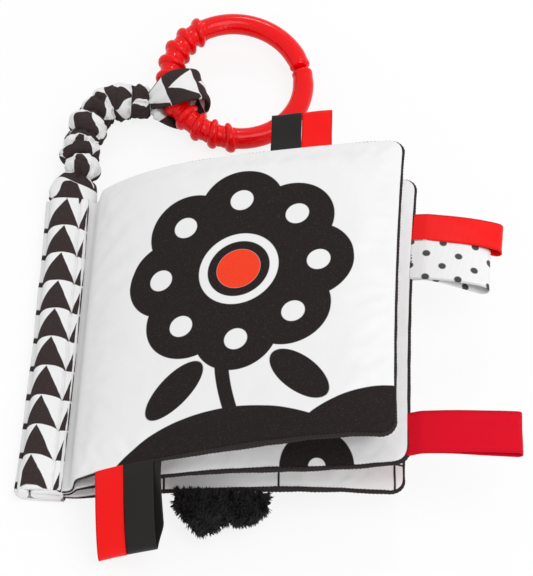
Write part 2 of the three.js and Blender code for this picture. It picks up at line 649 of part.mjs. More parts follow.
// A ribbon folded into a loop, sewn in at both ends. Its two layers leave the seam together,
// open towards the fold and droop along an arc.
function ribbonTag(name, finish, seat, size) {
  const { here, out, wide, lift } = seat;
  const { width, length, opening, droop, shift = 0 } = size;
  const root = RIBBON_THICKNESS / 2 + LAYER_GAP / 2;
  const half = opening / 2 + RIBBON_THICKNESS / 2;
  const fold = Math.min(half * FOLD_ROUND_SHARE, length / 3);
  const straight = length - fold;
  const side = equalShares(6).map((share) => {
    const ease = share * share * (3 - 2 * share);
    return [straight * share, THREE.MathUtils.lerp(root, half, ease)];
  });
  const cap = [30, 60, 90, 120, 150].map((turn) => [
    straight + fold * Math.sin(degrees(turn)), half * Math.cos(degrees(turn)),
  ]);
  const mirrored = [...side].reverse().map(([d, h]) => [d, -h]);
  const track = [...side, ...cap, ...mirrored];
  const [startDroop, endDroop] = droop.map(degrees);
  const bend = (d, h) => {
    const curve = (endDroop - startDroop) / length;
    const angle = startDroop + curve * d;
    const even = Math.abs(endDroop - startDroop) < 1e-6;
    const forward = even ? d * Math.cos(startDroop)
      : (Math.sin(angle) - Math.sin(startDroop)) / curve;
    const fall = even ? d * Math.sin(startDroop) : (Math.cos(startDroop) - Math.cos(angle)) / curve;
    return { forward: forward + h * Math.sin(angle), rise: -fall + h * Math.cos(angle) };
  };
  const last = track.length - 1;
  const layer = (sign) => (u, v) => {
    const k = Math.round(u * last);
    const before = track[Math.max(k - 1, 0)];
    const after = track[Math.min(k + 1, last)];
    const span = Math.hypot(after[0] - before[0], after[1] - before[1]);
    const d = track[k][0] + (sign * RIBBON_THICKNESS * (after[1] - before[1])) / span / 2;
    const h = track[k][1] - (sign * RIBBON_THICKNESS * (after[0] - before[0])) / span / 2;
    const { forward, rise } = bend(d, h);
    return here.clone()
      .addScaledVector(out, forward + edgingRadius + TAG_SEAT_GAP)
      .addScaledVector(lift, rise)
      .addScaledVector(wide, shift + (v - 0.5) * width);
  };
  piece(name, finish, sheet(equalShares(last), [0, 1], layer(1), layer(-1)));
}

// Seats on a leaf's edging: out of the page, along the edge, and up from its face.
function edgeSeat(surface, along, across, edge) {
  const offset = EDGING_GAP + edgingRadius;
  const spots = {
    near: [along, -halfHeight - offset],
    far: [along, halfHeight + offset],
    free: [surface.length + offset, across],
  };
  const { here, onward, sideways, out: faceOut } = surface.frame(...spots[edge]);
  const out = { near: sideways.clone().negate(), far: sideways, free: onward }[edge];
  const wide = edge === 'free' ? sideways : onward;
  const square = out.clone().addScaledVector(wide, -out.dot(wide)).normalize();
  return { here, out: square, wide, lift: faceOut };
}

// A plush tail, two swellings lying along the back leaf's near edge and down on the ground.
function plushTail(surface) {
  const seat = edgeSeat(surface, TAIL_FROM_TURN, 0, 'near');
  const level = new THREE.Vector3(seat.wide.x, 0, 0).normalize();
  const centre = seat.here.clone();
  centre.y -= edgingRadius + TAG_SEAT_GAP + TAIL_DEPTH / 2;
  centre.z = TAIL_HEIGHT / 2 + TAIL_FLOOR_GAP;
  const last = TAIL_SWELL_SHARES.length - 1;
  const rings = TAIL_SWELL_SHARES.map((swell, k) => {
    const share = k / last - 0.5;
    const at = centre.clone().addScaledVector(level, share * TAIL_LENGTH);
    at.y += TAIL_BOW_SHARE * TAIL_DEPTH * share ** 2;
    return ovalRing(
      at, level, up, (swell * TAIL_DEPTH) / 2, (swell * TAIL_HEIGHT) / 2, TAIL_SIDES);
  });
  return loft(rings);
}

spineSleeve();
const sewnPitch = MARGIN_THICKNESS + MARGIN_GAP;
const sewnMiddle = SLEEVE_THICKNESS / 2;
const frontLeaf = leafSurface(
  FRONT_TURN_HEIGHT, FRONT_LEAF_LENGTH, FRONT_NEAR_ANGLES, FRONT_FAR_ANGLES);
const middleLeaf = leafSurface(
  MIDDLE_TURN_HEIGHT, MIDDLE_LEAF_LENGTH, MIDDLE_NEAR_ANGLES, MIDDLE_FAR_ANGLES);
const backLeaf = leafSurface(
  BACK_TURN_HEIGHT, BACK_LEAF_LENGTH, BACK_NEAR_ANGLES, BACK_FAR_ANGLES);
leafMargin('front_leaf_margin', sewnMiddle + sewnPitch, frontLeaf, TURN_GAP / 2);
leafMargin('middle_leaf_margin', sewnMiddle, middleLeaf, FIXED_GAP / 2);
leafMargin('back_leaf_margin', sewnMiddle - sewnPitch, backLeaf, TURN_GAP / 2);
leafLayers('front_leaf', frontLeaf, TURN_GAP / 2, book);
leafLayers('middle_leaf', middleLeaf, FIXED_GAP / 2, book);
leafLayers('back_leaf', backLeaf, TURN_GAP / 2, book);

// Two narrow ribbons side by side, above and below the front leaf.
const narrowShift = (NARROW_RIBBON + TAG_SIDE_GAP) / 2;
const topTag = {
  width: NARROW_RIBBON, length: TOP_TAG_LENGTH, opening: FLAT_TAG_OPENING,
  droop: TOP_TAG_DROOP_ANGLES,
};
const topSeat = edgeSeat(frontLeaf, TOP_TAGS_FROM_TURN + NARROW_RIBBON, 0, 'far');
ribbonTag('black_top_tag', 'blackRibbon', topSeat, { ...topTag, shift: -narrowShift });
ribbonTag('red_top_tag', 'redRibbon', topSeat, { ...topTag, shift: narrowShift });

const bottomTag = {
  width: NARROW_RIBBON, length: BOTTOM_TAG_LENGTH, opening: BOTTOM_TAG_OPENING,
  droop: BOTTOM_TAG_DROOP_ANGLES,
};
const bottomSeat = edgeSeat(frontLeaf, BOTTOM_TAGS_FROM_TURN + NARROW_RIBBON, 0, 'near');
ribbonTag('red_bottom_tag', 'redRibbon', bottomSeat, { ...bottomTag, shift: -narrowShift });
ribbonTag('black_bottom_tag', 'blackRibbon', bottomSeat, { ...bottomTag, shift: narrowShift });

// A red ribbon and a wider dotted one on the middle leaf's free edge, and a woven tape below them.
const sideSeat = edgeSeat(middleLeaf, 0, halfHeight - SIDE_TAGS_FROM_FAR_CORNER, 'free');
ribbonTag('red_side_tag', 'redRibbon', sideSeat, {
  width: SIDE_RIBBON, length: RED_SIDE_TAG_LENGTH, opening: SOFT_TAG_OPENING,
  droop: RED_SIDE_DROOP_ANGLES, shift: (SIDE_RIBBON + TAG_SIDE_GAP) / 2,
});
ribbonTag('dotted_side_tag', 'dottedRibbon', sideSeat, {
  width: DOTTED_RIBBON, length: DOTTED_TAG_LENGTH, opening: SOFT_TAG_OPENING,
  droop: DOTTED_DROOP_ANGLES, shift: -(DOTTED_RIBBON + TAG_SIDE_GAP) / 2,
});
const wovenSeat = edgeSeat(middleLeaf, 0, WOVEN_TAG_FROM_NEAR_CORNER - halfHeight, 'free');
ribbonTag('woven_side_tag', 'redTape', wovenSeat, {
  width: WOVEN_TAPE, length: WOVEN_TAG_LENGTH, opening: FLAT_TAG_OPENING,
  droop: WOVEN_DROOP_ANGLES,
});

piece('plush_tail', 'plush', plushTail(backLeaf));

piece('strap_base', 'printedFleece', strapBase());
const lowerSizes = LOWER_PUFF_SHARES.map((share) => share * PUFF_DIAMETER);
const upperSizes = UPPER_PUFF_SHARES.map((share) => share * PUFF_DIAMETER);
piece('strap_lower', 'printedFleece',
  gatheredTube(STRAP_LOWER_SHARES, lowerSizes.length, lowerSizes, true));
piece('strap_upper', 'printedFleece',
  gatheredTube(STRAP_UPPER_SHARES, upperSizes.length, upperSizes, true));
piece('elastic_lower', 'elastic', elasticCord(STRAP_LOWER_SHARES));
piece('elastic_upper', 'elastic', elasticCord(STRAP_UPPER_SHARES));
strapLoop();
splitRing();

export default book;
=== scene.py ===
"""A cloth baby book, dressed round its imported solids.

Shapes are worked out in millimetres and put into meshes in metres, in the solids' own frame:
+X runs from the spine to the leaves' free edges, +Y along the spine towards the strap, +Z up.
"""

import math

import bpy
import numpy as np
from mathutils import Matrix


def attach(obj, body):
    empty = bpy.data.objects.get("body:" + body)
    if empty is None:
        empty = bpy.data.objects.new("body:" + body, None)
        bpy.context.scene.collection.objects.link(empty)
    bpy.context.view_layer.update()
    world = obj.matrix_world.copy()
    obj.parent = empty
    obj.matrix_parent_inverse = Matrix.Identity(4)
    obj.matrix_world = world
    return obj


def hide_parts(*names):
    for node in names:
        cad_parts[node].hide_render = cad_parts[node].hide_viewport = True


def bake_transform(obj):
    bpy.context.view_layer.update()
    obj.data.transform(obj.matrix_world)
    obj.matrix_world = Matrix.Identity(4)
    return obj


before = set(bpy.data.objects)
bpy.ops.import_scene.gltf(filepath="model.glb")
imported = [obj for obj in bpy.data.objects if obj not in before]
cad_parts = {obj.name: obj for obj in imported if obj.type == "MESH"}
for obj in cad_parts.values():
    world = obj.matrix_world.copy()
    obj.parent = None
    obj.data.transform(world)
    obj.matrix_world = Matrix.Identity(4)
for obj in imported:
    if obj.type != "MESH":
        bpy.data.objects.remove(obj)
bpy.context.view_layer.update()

MM = 0.001
TAU = 2 * math.pi

# Leaves, in millimetres, and their slopes in side view, in degrees from turn line to free edge.
# Trim is how much shorter the cloth is than its solids, at the near and the far corner.
PAGE_HEIGHT = 122.0
HALF_HEIGHT = PAGE_HEIGHT / 2
CORNER_RADIUS = 5.0
SIDE_DRAW_IN = 1.2
LEAF_THICKNESS = 4.8
RIM_THICKNESS = 1.1
MARGIN_THICKNESS = 1.5
EDGING_DIAMETER = 2.0
EDGING_GAP = 0.3
TURN_X = 14.5
MOUTH_X = 9.0
SEWN_DEPTH = 7.0
SEWN_PITCH = 1.9
SLEEVE_WIDTH = 19.0
SLEEVE_THICKNESS = 10.0
LEAVES = {
    "front_leaf": {
        "turn": 16.5, "length": 117.0, "sewn": SLEEVE_THICKNESS / 2 + SEWN_PITCH,
        "near": [34, 25, 22, 21.5, 20.5, 15, 0], "far": [47, 33, 21, 15.5, 13, 10, 4],
        "trim": (2.1, 0.7),
    },
    "middle_leaf": {
        "turn": 9.5, "length": 117.5, "sewn": SLEEVE_THICKNESS / 2,
        "near": [22, 19, 14.5, 9.5, 9, 15.5, 24], "far": [22, 17, 12, 9, 7.5, 7, 6],
        "trim": (0.8, 1.8),
    },
    "back_leaf": {
        "turn": 3.4, "length": 113.5, "sewn": SLEEVE_THICKNESS / 2 - SEWN_PITCH,
        "near": [13, 11, 8, 7, 6.5, 3.5, 0], "far": [-3, -2, -1, -0.5, 0, -0.5, -1],
        "trim": (0.6, 0.6),
    },
}

# Strap: its route in plan as shares of its reach, and where its pieces begin and end along it.
STRAP_REACH = 48.0
STRAP_REST_HEIGHT = 7.6
STRAP_ROUTE_SHARES = [
    [0, 0], [0.05, 0.14], [0.085, 0.28], [0.066, 0.44], [0.07, 0.61], [0.12, 0.78],
    [0.215, 0.92], [0.345, 0.985], [0.46, 0.99],
]
BASE_END_SHARE, MIDDLE_SHARE = 0.19, 0.6
PUFF_DIAMETER = 14.6
BASE_PUFF_WIDTH, BASE_PUFF_HEIGHT = 17.6, 9.2

# Ring and its tilted frame.
RING_OUTER_DIAMETER = 59.0
RING_TUBE_DIAMETER = 8.0
RIB_DIAMETER = 11.2
RIB_COUNT = 11
FIRST_RIB_ANGLE, LAST_RIB_ANGLE = 129.0, 266.0
RIB_LEAN_ANGLE = 15.0
RING_SPLIT_ANGLE = 17.0
RING_SPLIT_GAP = 0.5
RING_CENTRE = np.array([59.7, 120.5, 8.1])
RING_FAR_TILT_ANGLE, RING_LEFT_TILT_ANGLE = 6.0, 4.7

# Cloth loop between the strap and the ring.
LOOP_ANGLE = 202.0
LOOP_PIVOT_RADIUS = RING_OUTER_DIAMETER / 2 + (RIB_DIAMETER - RING_TUBE_DIAMETER) / 2 + 4.0
LOOP_BAND_WIDTH = 13.0
LOOP_EYE_X, LOOP_EYE_HALF_LENGTH, LOOP_EYE_HALF_RISE = 11.8, 9.8, 7.2

# Print of the fleece: one triangle's base and height.
TRIANGLE_BASE = 12.7
TRIANGLE_HEIGHT = 11.6

# Colours as linear red, green and blue.
WHITE_CLOTH = (0.82, 0.812, 0.812)
INK_BLACK = (0.019, 0.014, 0.014)
INK_TIPS = (0.075, 0.062, 0.062)
INK_RED = (0.86, 0.055, 0.02)
FLEECE_BLACK = (0.038, 0.026, 0.026)
FLEECE_TIPS = (0.1, 0.078, 0.075)
THREAD_BLACK = (0.018, 0.013, 0.013)
THREAD_LIGHT = (0.05, 0.04, 0.04)
RING_RED = (0.83, 0.0015, 0.003)
RIBBON_RED = (0.86, 0.007, 0.006)
RIBBON_BLACK = (0.015, 0.0135, 0.013)
RIBBON_DOTS = (0.06, 0.055, 0.06)
TAPE_RED = (0.72, 0.002, 0.018)
PLUSH_BLACK = (0.012, 0.011, 0.012)
PLUSH_TIPS = (0.035, 0.032, 0.034)


# Small sums

def unit(vectors):
    return vectors / np.maximum(np.linalg.norm(vectors, axis=-1, keepdims=True), 1e-9)


def smooth_step(low, high, values):
    t = np.clip((values - low) / (high - low), 0, 1)
    return t * t * (3 - 2 * t)


def lerp(a, b, share):
    return a + (b - a) * share


def bell(values, width):
    """1 where a value is 0, fading on both sides: e to the power of -(value / width) squared."""
    return np.exp(-(values / width) ** 2)


def rounded_box(turn, squareness):
    """Across and up on a superellipse of half size one, at turns round it."""
    c, s = np.cos(turn), np.sin(turn)
    power = 2 / squareness
    return np.sign(c) * np.abs(c) ** power, np.sign(s) * np.abs(s) ** power


def distances(points):
    """How far along their line the points lie."""
    return np.concatenate([[0], np.cumsum(np.linalg.norm(np.diff(points, axis=0), axis=1))])


def at_distances(wanted, distance, points):
    """Points at the wanted distances along a line of points."""
    return np.column_stack([np.interp(wanted, distance, column) for column in points.T])


def pairs(first, second):
    """A grid of every first value with every second value."""
    return np.stack(np.meshgrid(first, second, indexing="ij"), axis=-1)


def ripple(seed, *coordinates):
    """A fixed sum of six sines of mixed lengths and directions, between about -1 and 1."""
    made = np.random.default_rng(seed)
    total = 0
    for k in range(6):
        rates = made.uniform(0.5, 1.0 + 0.45 * k, len(coordinates)) * made.choice([-1, 1])
        phase = made.uniform(0, TAU)
        wave = np.sin(sum(r * c for r, c in zip(rates, coordinates)) + phase)
        total = total + wave / (1.5 + 0.6 * k)
    return total / 1.7


# Camera, floor and light

VIEW_AZIMUTH, VIEW_ELEVATION = math.radians(3.2), math.radians(58)
VIEW_DISTANCE = 1000.0
VIEW_CENTRE, VIEW_AIM = np.array([60.0, 0.0, 5.0]), np.array([75.37, 28.46, 5.0])
LENS, SENSOR_WIDTH = 173.84, 36

# Each light's name, place in metres, size and power. All face the same target.
LIGHT_TARGET = np.array([0.06, 0.02, 0.0])
LIGHTS = [
    ("key_light", (0.5, -0.25, 1.3), 0.7, 5.3),
    ("front_light", (0.65, -1.05, 0.55), 0.5, 3.2),
    ("far_light", (0.25, 1.0, 0.85), 0.16, 2.1),
]
FILL_COLOUR, FILL_STRENGTH = (0.98, 0.99, 1, 1), 0.74
FLOOR_GLOW = 0.84


def stand(name, data, place, back, right):
    """An object at a place in metres, turned so that its +Z is back and its +X is right."""
    columns = np.stack([right, np.cross(back, right), back, place], axis=1)
    holder = bpy.data.objects.new(name, data)
    holder.matrix_world = Matrix([*columns.tolist(), [0, 0, 0, 1]])
    bpy.context.scene.collection.objects.link(holder)
    return holder


def add_camera():
    """A long lens one metre from the book, 58 degrees above the floor and 3.2 degrees round."""
    ahead = math.cos(VIEW_ELEVATION)
    away = np.array([
        math.sin(VIEW_AZIMUTH) * ahead, -math.cos(VIEW_AZIMUTH) * ahead, math.sin(VIEW_ELEVATION)])
    place = VIEW_CENTRE + VIEW_DISTANCE * away
    back = unit(place - VIEW_AIM)
    level = np.array([math.cos(VIEW_AZIMUTH), math.sin(VIEW_AZIMUTH), 0.0])
    lens = bpy.data.cameras.new("camera")
    lens.lens, lens.sensor_width = LENS, SENSOR_WIDTH
    lens.clip_start, lens.clip_end = 0.05, 20
    right = unit(level - back * (level @ back))
    bpy.context.scene.camera = stand("camera", lens, place * MM, back, right)


def add_lights():
    for name, place, size, power in LIGHTS:
        lamp = bpy.data.lights.new(name, "AREA")
        lamp.shape, lamp.size, lamp.energy = "SQUARE", size, power
        back = unit(np.array(place) - LIGHT_TARGET)
        stand(name, lamp, place, back, unit(np.cross([0.0, 0.0, 1.0], back)))


def seen_straight(tree):
    """The share of light that the camera sees directly, in a mirror or through glass."""
    path = tree.nodes.new("ShaderNodeLightPath")
    camera, glossy, through = (
        Term(tree, path.outputs[f"Is {kind} Ray"]) for kind in ("Camera", "Glossy", "Transmission"))
    return camera.made("MAXIMUM", glossy).made("MAXIMUM", through)


def mix_shaders(share, first, second, last):
    """The first shader where a term is 0 and the second where it is 1, as a tree's surface."""
    mix = share.tree.nodes.new("ShaderNodeMixShader")
    for source, entry in zip((share.socket, first.outputs[0], second.outputs[0]), mix.inputs):
        share.tree.links.new(source, entry)
    share.tree.links.new(mix.outputs[0], last.inputs["Surface"])


def add_world():
    """White where it is seen, and a plain even fill on the object."""
    world = bpy.data.worlds.new("studio")
    world.use_nodes = True
    bpy.context.scene.world = world
    tree = world.node_tree
    shown = set_inputs(tree.nodes["Background"], Color=(1, 1, 1, 1), Strength=1)
    fill = set_inputs(
        tree.nodes.new("ShaderNodeBackground"), Color=FILL_COLOUR, Strength=FILL_STRENGTH)
    mix_shaders(seen_straight(tree), fill, shown, tree.nodes["World Output"])


def add_floor():
    """A wide pale floor just under the book. Seen straight it glows a little, so that it stays
    white and keeps a light shadow."""
    material = bpy.data.materials.new("pale_floor")
    material.use_nodes = True
    tree = material.node_tree
    matt = set_inputs(
        tree.nodes["Principled BSDF"], Base_Color=(0.9, 0.9, 0.9, 1), Roughness=0.9,
        Specular_IOR_Level=0.1)
    glow = set_inputs(tree.nodes.new("ShaderNodeEmission"), Strength=1)
    mix_shaders(seen_straight(tree) * FLOOR_GLOW, matt, glow, tree.nodes["Material Output"])
    reach, under = 4.0, -0.0002
    corners = [(x * reach, y * reach, under) for x, y in ((-1, -1), (1, -1), (1, 1), (-1, 1))]
    mesh = bpy.data.meshes.new("floor")
    mesh.from_pydata(corners, [], [(0, 1, 2, 3)])
    mesh.materials.append(material)
    floor = bpy.data.objects.new("floor", mesh)
    bpy.context.scene.collection.objects.link(floor)


# Node sums and groups

def set_inputs(node, **values):
    """The same node, with constants set on its inputs of those names."""
    for label, value in values.items():
        node.inputs[label.replace("_", " ")].default_value = value
    return node


def feed(tree, value, entry):
    """Puts a term, a node's output, a colour of three numbers or a plain number on an input."""
    if isinstance(value, Term):
        tree.links.new(value.socket, entry)
    elif isinstance(value, bpy.types.NodeSocket):
        tree.links.new(value, entry)
    else:
        entry.default_value = (*value, 1) if isinstance(value, tuple) else value


class Term:
    """A number in a shader node tree, so that a print can be written as a sum."""

    def __init__(self, tree, socket):
        self.tree = tree
        self.socket = socket

    def made(self, operation, *others, clamp=False):
        node = self.tree.nodes.new("ShaderNodeMath")
        node.operation = operation
        node.use_clamp = clamp
        for entry, value in zip(node.inputs, (self, *others)):
            feed(self.tree, value, entry)
        return Term(self.tree, node.outputs[0])

    def __add__(self, other):
        return self.made("ADD", other)

    def __sub__(self, other):
        return self.made("SUBTRACT", other)

    def __mul__(self, other):
        return self.made("MULTIPLY", other)

    def __truediv__(self, other):
        return self.made("DIVIDE", other)

    def __neg__(self):
        return self.made("MULTIPLY", -1.0)

    def __abs__(self):
        return self.made("ABSOLUTE")

    def sine(self):
        return self.made("SINE")

    def fraction(self):
        return self.made("FRACT")

    def repeated(self, pitch, start=0.0):
        """A place measured from the middle of the repeat that it falls in."""
        return ((self / pitch + start).fraction() - 0.5) * pitch

    def both(self, other):
        """The overlap of two shapes given as distances to their outlines."""
        return self.made("MAXIMUM", other)

    def either(self, other):
        """The union of two shapes given as distances to their outlines."""
        return self.made("MINIMUM", other)

    def less(self, other):
        """A shape with another cut out of it."""
        return self.both(-other)

    def mask(self, softness=0.3):
        """1 inside a shape and 0 outside it, with an edge as soft as ink on cloth."""
        return (-self).made("MULTIPLY_ADD", 1 / softness, 0.5, clamp=True)

    def clamped(self):
        return self.made("ADD", 0.0, clamp=True)


def length_of(a, b):
    return (a * a + b * b).made("SQRT")


def disc(u, v, centre, radius):
    return length_of(u - centre[0], v - centre[1]) - radius


def folded_round(u, v, count):
    """A point folded into the first of a count of equal slices about the origin."""
    step = TAU / count
    slice_angle = (v.made("ARCTAN2", u) / step + 0.5).fraction() * step - step / 2
    reach = length_of(u, v)
    return reach * slice_angle.made("COSINE"), reach * slice_angle.sine()


def node_group(name, inputs, build):
    """A shader node group of numbers. Build takes its tree and its inputs as terms, and gives
    its outputs as terms."""
    tree = bpy.data.node_groups.new(name, "ShaderNodeTree")
    for label, value in inputs.items():
        entry = tree.interface.new_socket(label, in_out="INPUT", socket_type="NodeSocketFloat")
        entry.default_value = value
    source = tree.nodes.new("NodeGroupInput")
    outputs = build(tree, {label: Term(tree, source.outputs[label]) for label in inputs})
    for label in outputs:
        tree.interface.new_socket(label, in_out="OUTPUT", socket_type="NodeSocketFloat")
    last = tree.nodes.new("NodeGroupOutput")
    for label, value in outputs.items():
        tree.links.new(value.socket, last.inputs[label])
    return tree


def noise(tree, scale, detail, stretch=(1, 1, 1)):
    """Even noise of a given number of cells to the metre."""
    place = tree.nodes.new("ShaderNodeTexCoord")
    mapping = set_inputs(tree.nodes.new("ShaderNodeMapping"), Scale=stretch)
    texture = set_inputs(tree.nodes.new("ShaderNodeTexNoise"), Scale=scale, Detail=detail)
    tree.links.new(place.outputs["Object"], mapping.inputs["Vector"])
    tree.links.new(mapping.outputs["Vector"], texture.inputs["Vector"])
    return Term(tree, texture.outputs[0])


def short_pile(tree, given):
    """Short brushed pile: fine grain, broad strokes of the nap, and light fibre tips."""
    grain = noise(tree, 2300, 3)
    nap = noise(tree, 160, 4, stretch=(1, 0.45, 1))
    tips = (noise(tree, 3300, 1, stretch=(1, 0.6, 1)) - 0.60) * 7.0
    return {"Grain": grain, "Nap": nap, "Tips": tips.clamped(), "Height": grain * 0.75 + nap * 0.6}


def triangle_print(tree, given):
    """Rows of triangles: dark where the distance from a column's middle is under the share left
    of the row's height. U and V are in millimetres."""
    across = abs((given["U"] / given["Base"] + 0.5).fraction() - 0.5) * 2.0
    climb = (given["V"] / given["Height"]).fraction()
    shape = (across + climb - given["Size"]) * 5.0
    floor_line = (climb - 0.02) * -11.0
    return {"Ink": shape.both(floor_line).mask(0.22)}


def dot_print(tree, given):
    """Small dots in rows, each row half a pitch on from the last. U and V are in millimetres."""
    offset = ((given["U"] / given["Row"]).made("FLOOR") * 0.5).fraction()
    u = given["U"].repeated(given["Row"])
    v = given["V"].repeated(given["Pitch"], offset)
    return {"Ink": (length_of(u, v) - given["Radius"]).mask(0.35)}


def satin_weave(tree, given):
    """Satin ribbon: fine lines across it and a corded selvedge along each side. U runs across
    from its middle and V along it, in millimetres."""
    line_pitch, cord_pitch, selvedge_width = 0.42, 0.6, 0.75
    line = (given["V"] * (TAU / line_pitch) + given["U"] * 1.1).sine() * 0.5 + 0.5
    edge = abs(given["U"]) - given["Half Width"] + selvedge_width
    selvedge = edge.made("MULTIPLY_ADD", 6.0, 0.0, clamp=True)
    cord = (given["V"] * (TAU / cord_pitch)).sine() * 0.5 + 0.5
    height = line * 0.35 + selvedge * (cord * 0.5 + 0.6)
    return {"Line": line, "Selvedge": selvedge, "Height": height}


def tape_weave(tree, given):
    """Woven tape: a plain weave of flat threads, with denser bands along both sides."""
    warp_pitch, weft_pitch, band_width = 0.52, 0.62, 1.7
    warp = (given["U"] * (TAU / warp_pitch)).sine()
    weft = (given["V"] * (TAU / weft_pitch)).sine()
    thread = (warp * weft) * 0.5 + 0.5
    edge = abs(given["U"]) - given["Half Width"] + band_width
    band = edge.made("MULTIPLY_ADD", 3.0, 0.0, clamp=True)
    return {"Thread": thread, "Band": band, "Height": thread * (-band * 0.5 + 1.0)}


def petal_leaf(u, v, centre_u, side):
    """A slanting oval leaf of the flower, on its left (side 1) or its right (side -1)."""
    centre_v, thin, long, size = -37.0, 0.9, 0.42, 8.0
    from_u, from_v = u - centre_u, v - centre_v
    return length_of(
        from_u * long + from_v * (long * side), from_u * thin - from_v * (thin * side)) - size


def bloom_print(u, v):
    """Cover: a large scalloped flower with a ringed middle and dotted petals, on a curved stem
    with two leaves over dark ground."""
    flower_u, flower_v, petal_count = 60.0, 9.0, 8
    from_u, from_v = u - flower_u, v - flower_v
    from_middle = length_of(from_u, from_v)
    petal_u, petal_v = folded_round(from_u, from_v, petal_count)
    petals = disc(petal_u, petal_v, (26.0, 0.0), 15.5).either(from_middle - 29.0)
    dots = disc(petal_u, petal_v, (29.0, 0.0), 4.2)
    ring = abs(from_middle - 13.0) - 1.6
    from_stem = from_u - (v * 0.06).sine() * 5.0
    stem = (abs(from_stem) - 2.6).both(v + 27.0)
    ground = disc(u, v, (58.0, -118.0), 71.0).either(disc(u, v, (122.0, -104.0), 62.0))
    dark = petals.less(dots).less(ring).either(stem)
    dark = dark.either(petal_leaf(u, v, 38.0, 1)).either(petal_leaf(u, v, 83.0, -1))
    return dark.either(ground), from_middle - 8.0


def hills_print(u, v):
    """Dark half discs standing on both edges, with a red dot beside them, and a large ring
    round a dark disc further in."""
    hill_pitch, target_u, target_v = 110.0, 42.0, 6.0
    step = u.repeated(hill_pitch, -0.27)
    near = disc(step, v, (0.0, -61.0), 13.0).less(disc(step, v, (0.0, -61.0), 3.0))
    far = disc(step, v, (0.0, 61.0), 12.0)
    from_middle = length_of(u - target_u, v - target_v)
    ring = (abs(from_middle - 22.0) - 3.2).either(abs(from_middle - 11.5) - 2.2)
    red = disc(step, v, (0.0, -34.0), 5.0).either(from_middle - 6.5)
    return near.either(far).either(ring), red


def ring_print(u, v):
    """Rings one inside another, with a red middle."""
    ring_pitch = 16.0
    reach = length_of(u - 58.0, v)
    rings = abs(reach.repeated(ring_pitch)) - 4.0
    return rings.both(reach - 48.0).less(reach - 8.0), reach - 5.0


def wave_print(u, v):
    """Dark waves across the page, with one red wave."""
    wave_pitch = 17.0
    swing = v + (u * 0.16).sine() * 4.0
    return abs(swing.repeated(wave_pitch)) - 3.4, abs(swing) - 2.0


def check_print(u, v):
    """Thin dark lines that cross, with a dark disc and its red middle in every window."""
    pane, to_line = 40.0, 19.6
    pane_u, pane_v = u.repeated(pane, 0.25), v.repeated(pane, 0.25)
    lines = (-abs(pane_u) + to_line).either(-abs(pane_v) + to_line)
    from_middle = length_of(pane_u, pane_v)
    return (from_middle - 9.0).either(lines), from_middle - 4.0


def spot_print(u, v):
    """Large dark spots in staggered rows, with a red middle in each."""
    row, pitch = 22.0, 26.0
    offset = ((u / row).made("FLOOR") * 0.5).fraction()
    from_middle = length_of(u.repeated(row), v.repeated(pitch, offset))
    return (from_middle - 8.0).less(from_middle - 3.6), from_middle - 2.2


def page_print_group(name, motif):
    """A page's print, from millimetres along and across it: where it is dark and where red."""
    def build(tree, given):
        dark, red = motif(given["Along"], given["Across"])
        red_mask = red.mask()
        return {"Dark": dark.mask() * (-red_mask + 1.0), "Red": red_mask}
    return node_group(name, {"Along": 0, "Across": 0}, build)


# Materials

class Finish:
    """A material in the making: its node tree and its one shader."""

    def __init__(self, name, roughness, specular, sheen=0.0):
        self.material = bpy.data.materials.new(name)
        self.material.use_nodes = True
        self.tree = self.material.node_tree
        self.shader = set_inputs(
            self.tree.nodes["Principled BSDF"], Roughness=roughness,
            Specular_IOR_Level=specular, Sheen_Weight=sheen, Sheen_Roughness=0.5)

    def place(self):
        """The piece's own UV, which holds millimetres on its cloth."""
        node = self.tree.nodes.new("ShaderNodeUVMap")
        node.uv_map = "cloth"
        split = self.tree.nodes.new("ShaderNodeSeparateXYZ")
        self.tree.links.new(node.outputs[0], split.inputs[0])
        return Term(self.tree, split.outputs[0]), Term(self.tree, split.outputs[1])

    def group(self, group, **inputs):
        """A node group, with terms or numbers on its inputs: its outputs as terms."""
        node = self.tree.nodes.new("ShaderNodeGroup")
        node.node_tree = group
        for label, value in inputs.items():
            feed(self.tree, value, node.inputs[label.replace("_", " ")])
        return {output.name: Term(self.tree, output) for output in node.outputs}

    def mix(self, share, first, second):
        """The first colour where a term is 0 and the second where it is 1."""
        mix = self.tree.nodes.new("ShaderNodeMix")
        mix.data_type = "RGBA"
        entries = (mix.inputs["Factor"], mix.inputs[6], mix.inputs[7])
        for value, entry in zip((share, first, second), entries):
            feed(self.tree, value, entry)
        return mix.outputs[2]

    def shade(self, colour, tone, depth):
        """A colour made a little lighter and darker by a tone between 0 and 1."""
        node = self.tree.nodes.new("ShaderNodeHueSaturation")
        feed(self.tree, tone.made("MULTIPLY_ADD", depth, 1 - depth / 2), node.inputs["Value"])
        feed(self.tree, colour, node.inputs["Color"])
        return node.outputs[0]

    def done(self, colour, height, depth, strength=1.0):
        """The material with its colour, and a bump of a given depth in millimetres."""
        bump = set_inputs(
            self.tree.nodes.new("ShaderNodeBump"), Strength=strength, Distance=depth * MM)
        feed(self.tree, height, bump.inputs["Height"])
        feed(self.tree, bump.outputs[0], self.shader.inputs["Normal"])
        feed(self.tree, colour, self.shader.inputs["Base Color"])
        return self.material


def page_material(name, print_group, pile):
    """Smooth brushed cloth with a page's print. Fibre tips show light in the dark ink."""
    look = Finish(name, roughness=0.9, specular=0.07, sheen=0.03)
    along, across = look.place()
    nap = look.group(pile)
    ink = look.group(print_group, Along=along, Across=across)
    dark = look.mix(nap["Tips"] * 0.55, INK_BLACK, INK_TIPS)
    red = look.shade(INK_RED, nap["Grain"], 0.35)
    white = look.shade(WHITE_CLOTH, nap["Nap"], 0.06)
    colour = look.mix(ink["Dark"], white, dark)
    return look.done(look.mix(ink["Red"], colour, red), nap["Height"], depth=0.11)


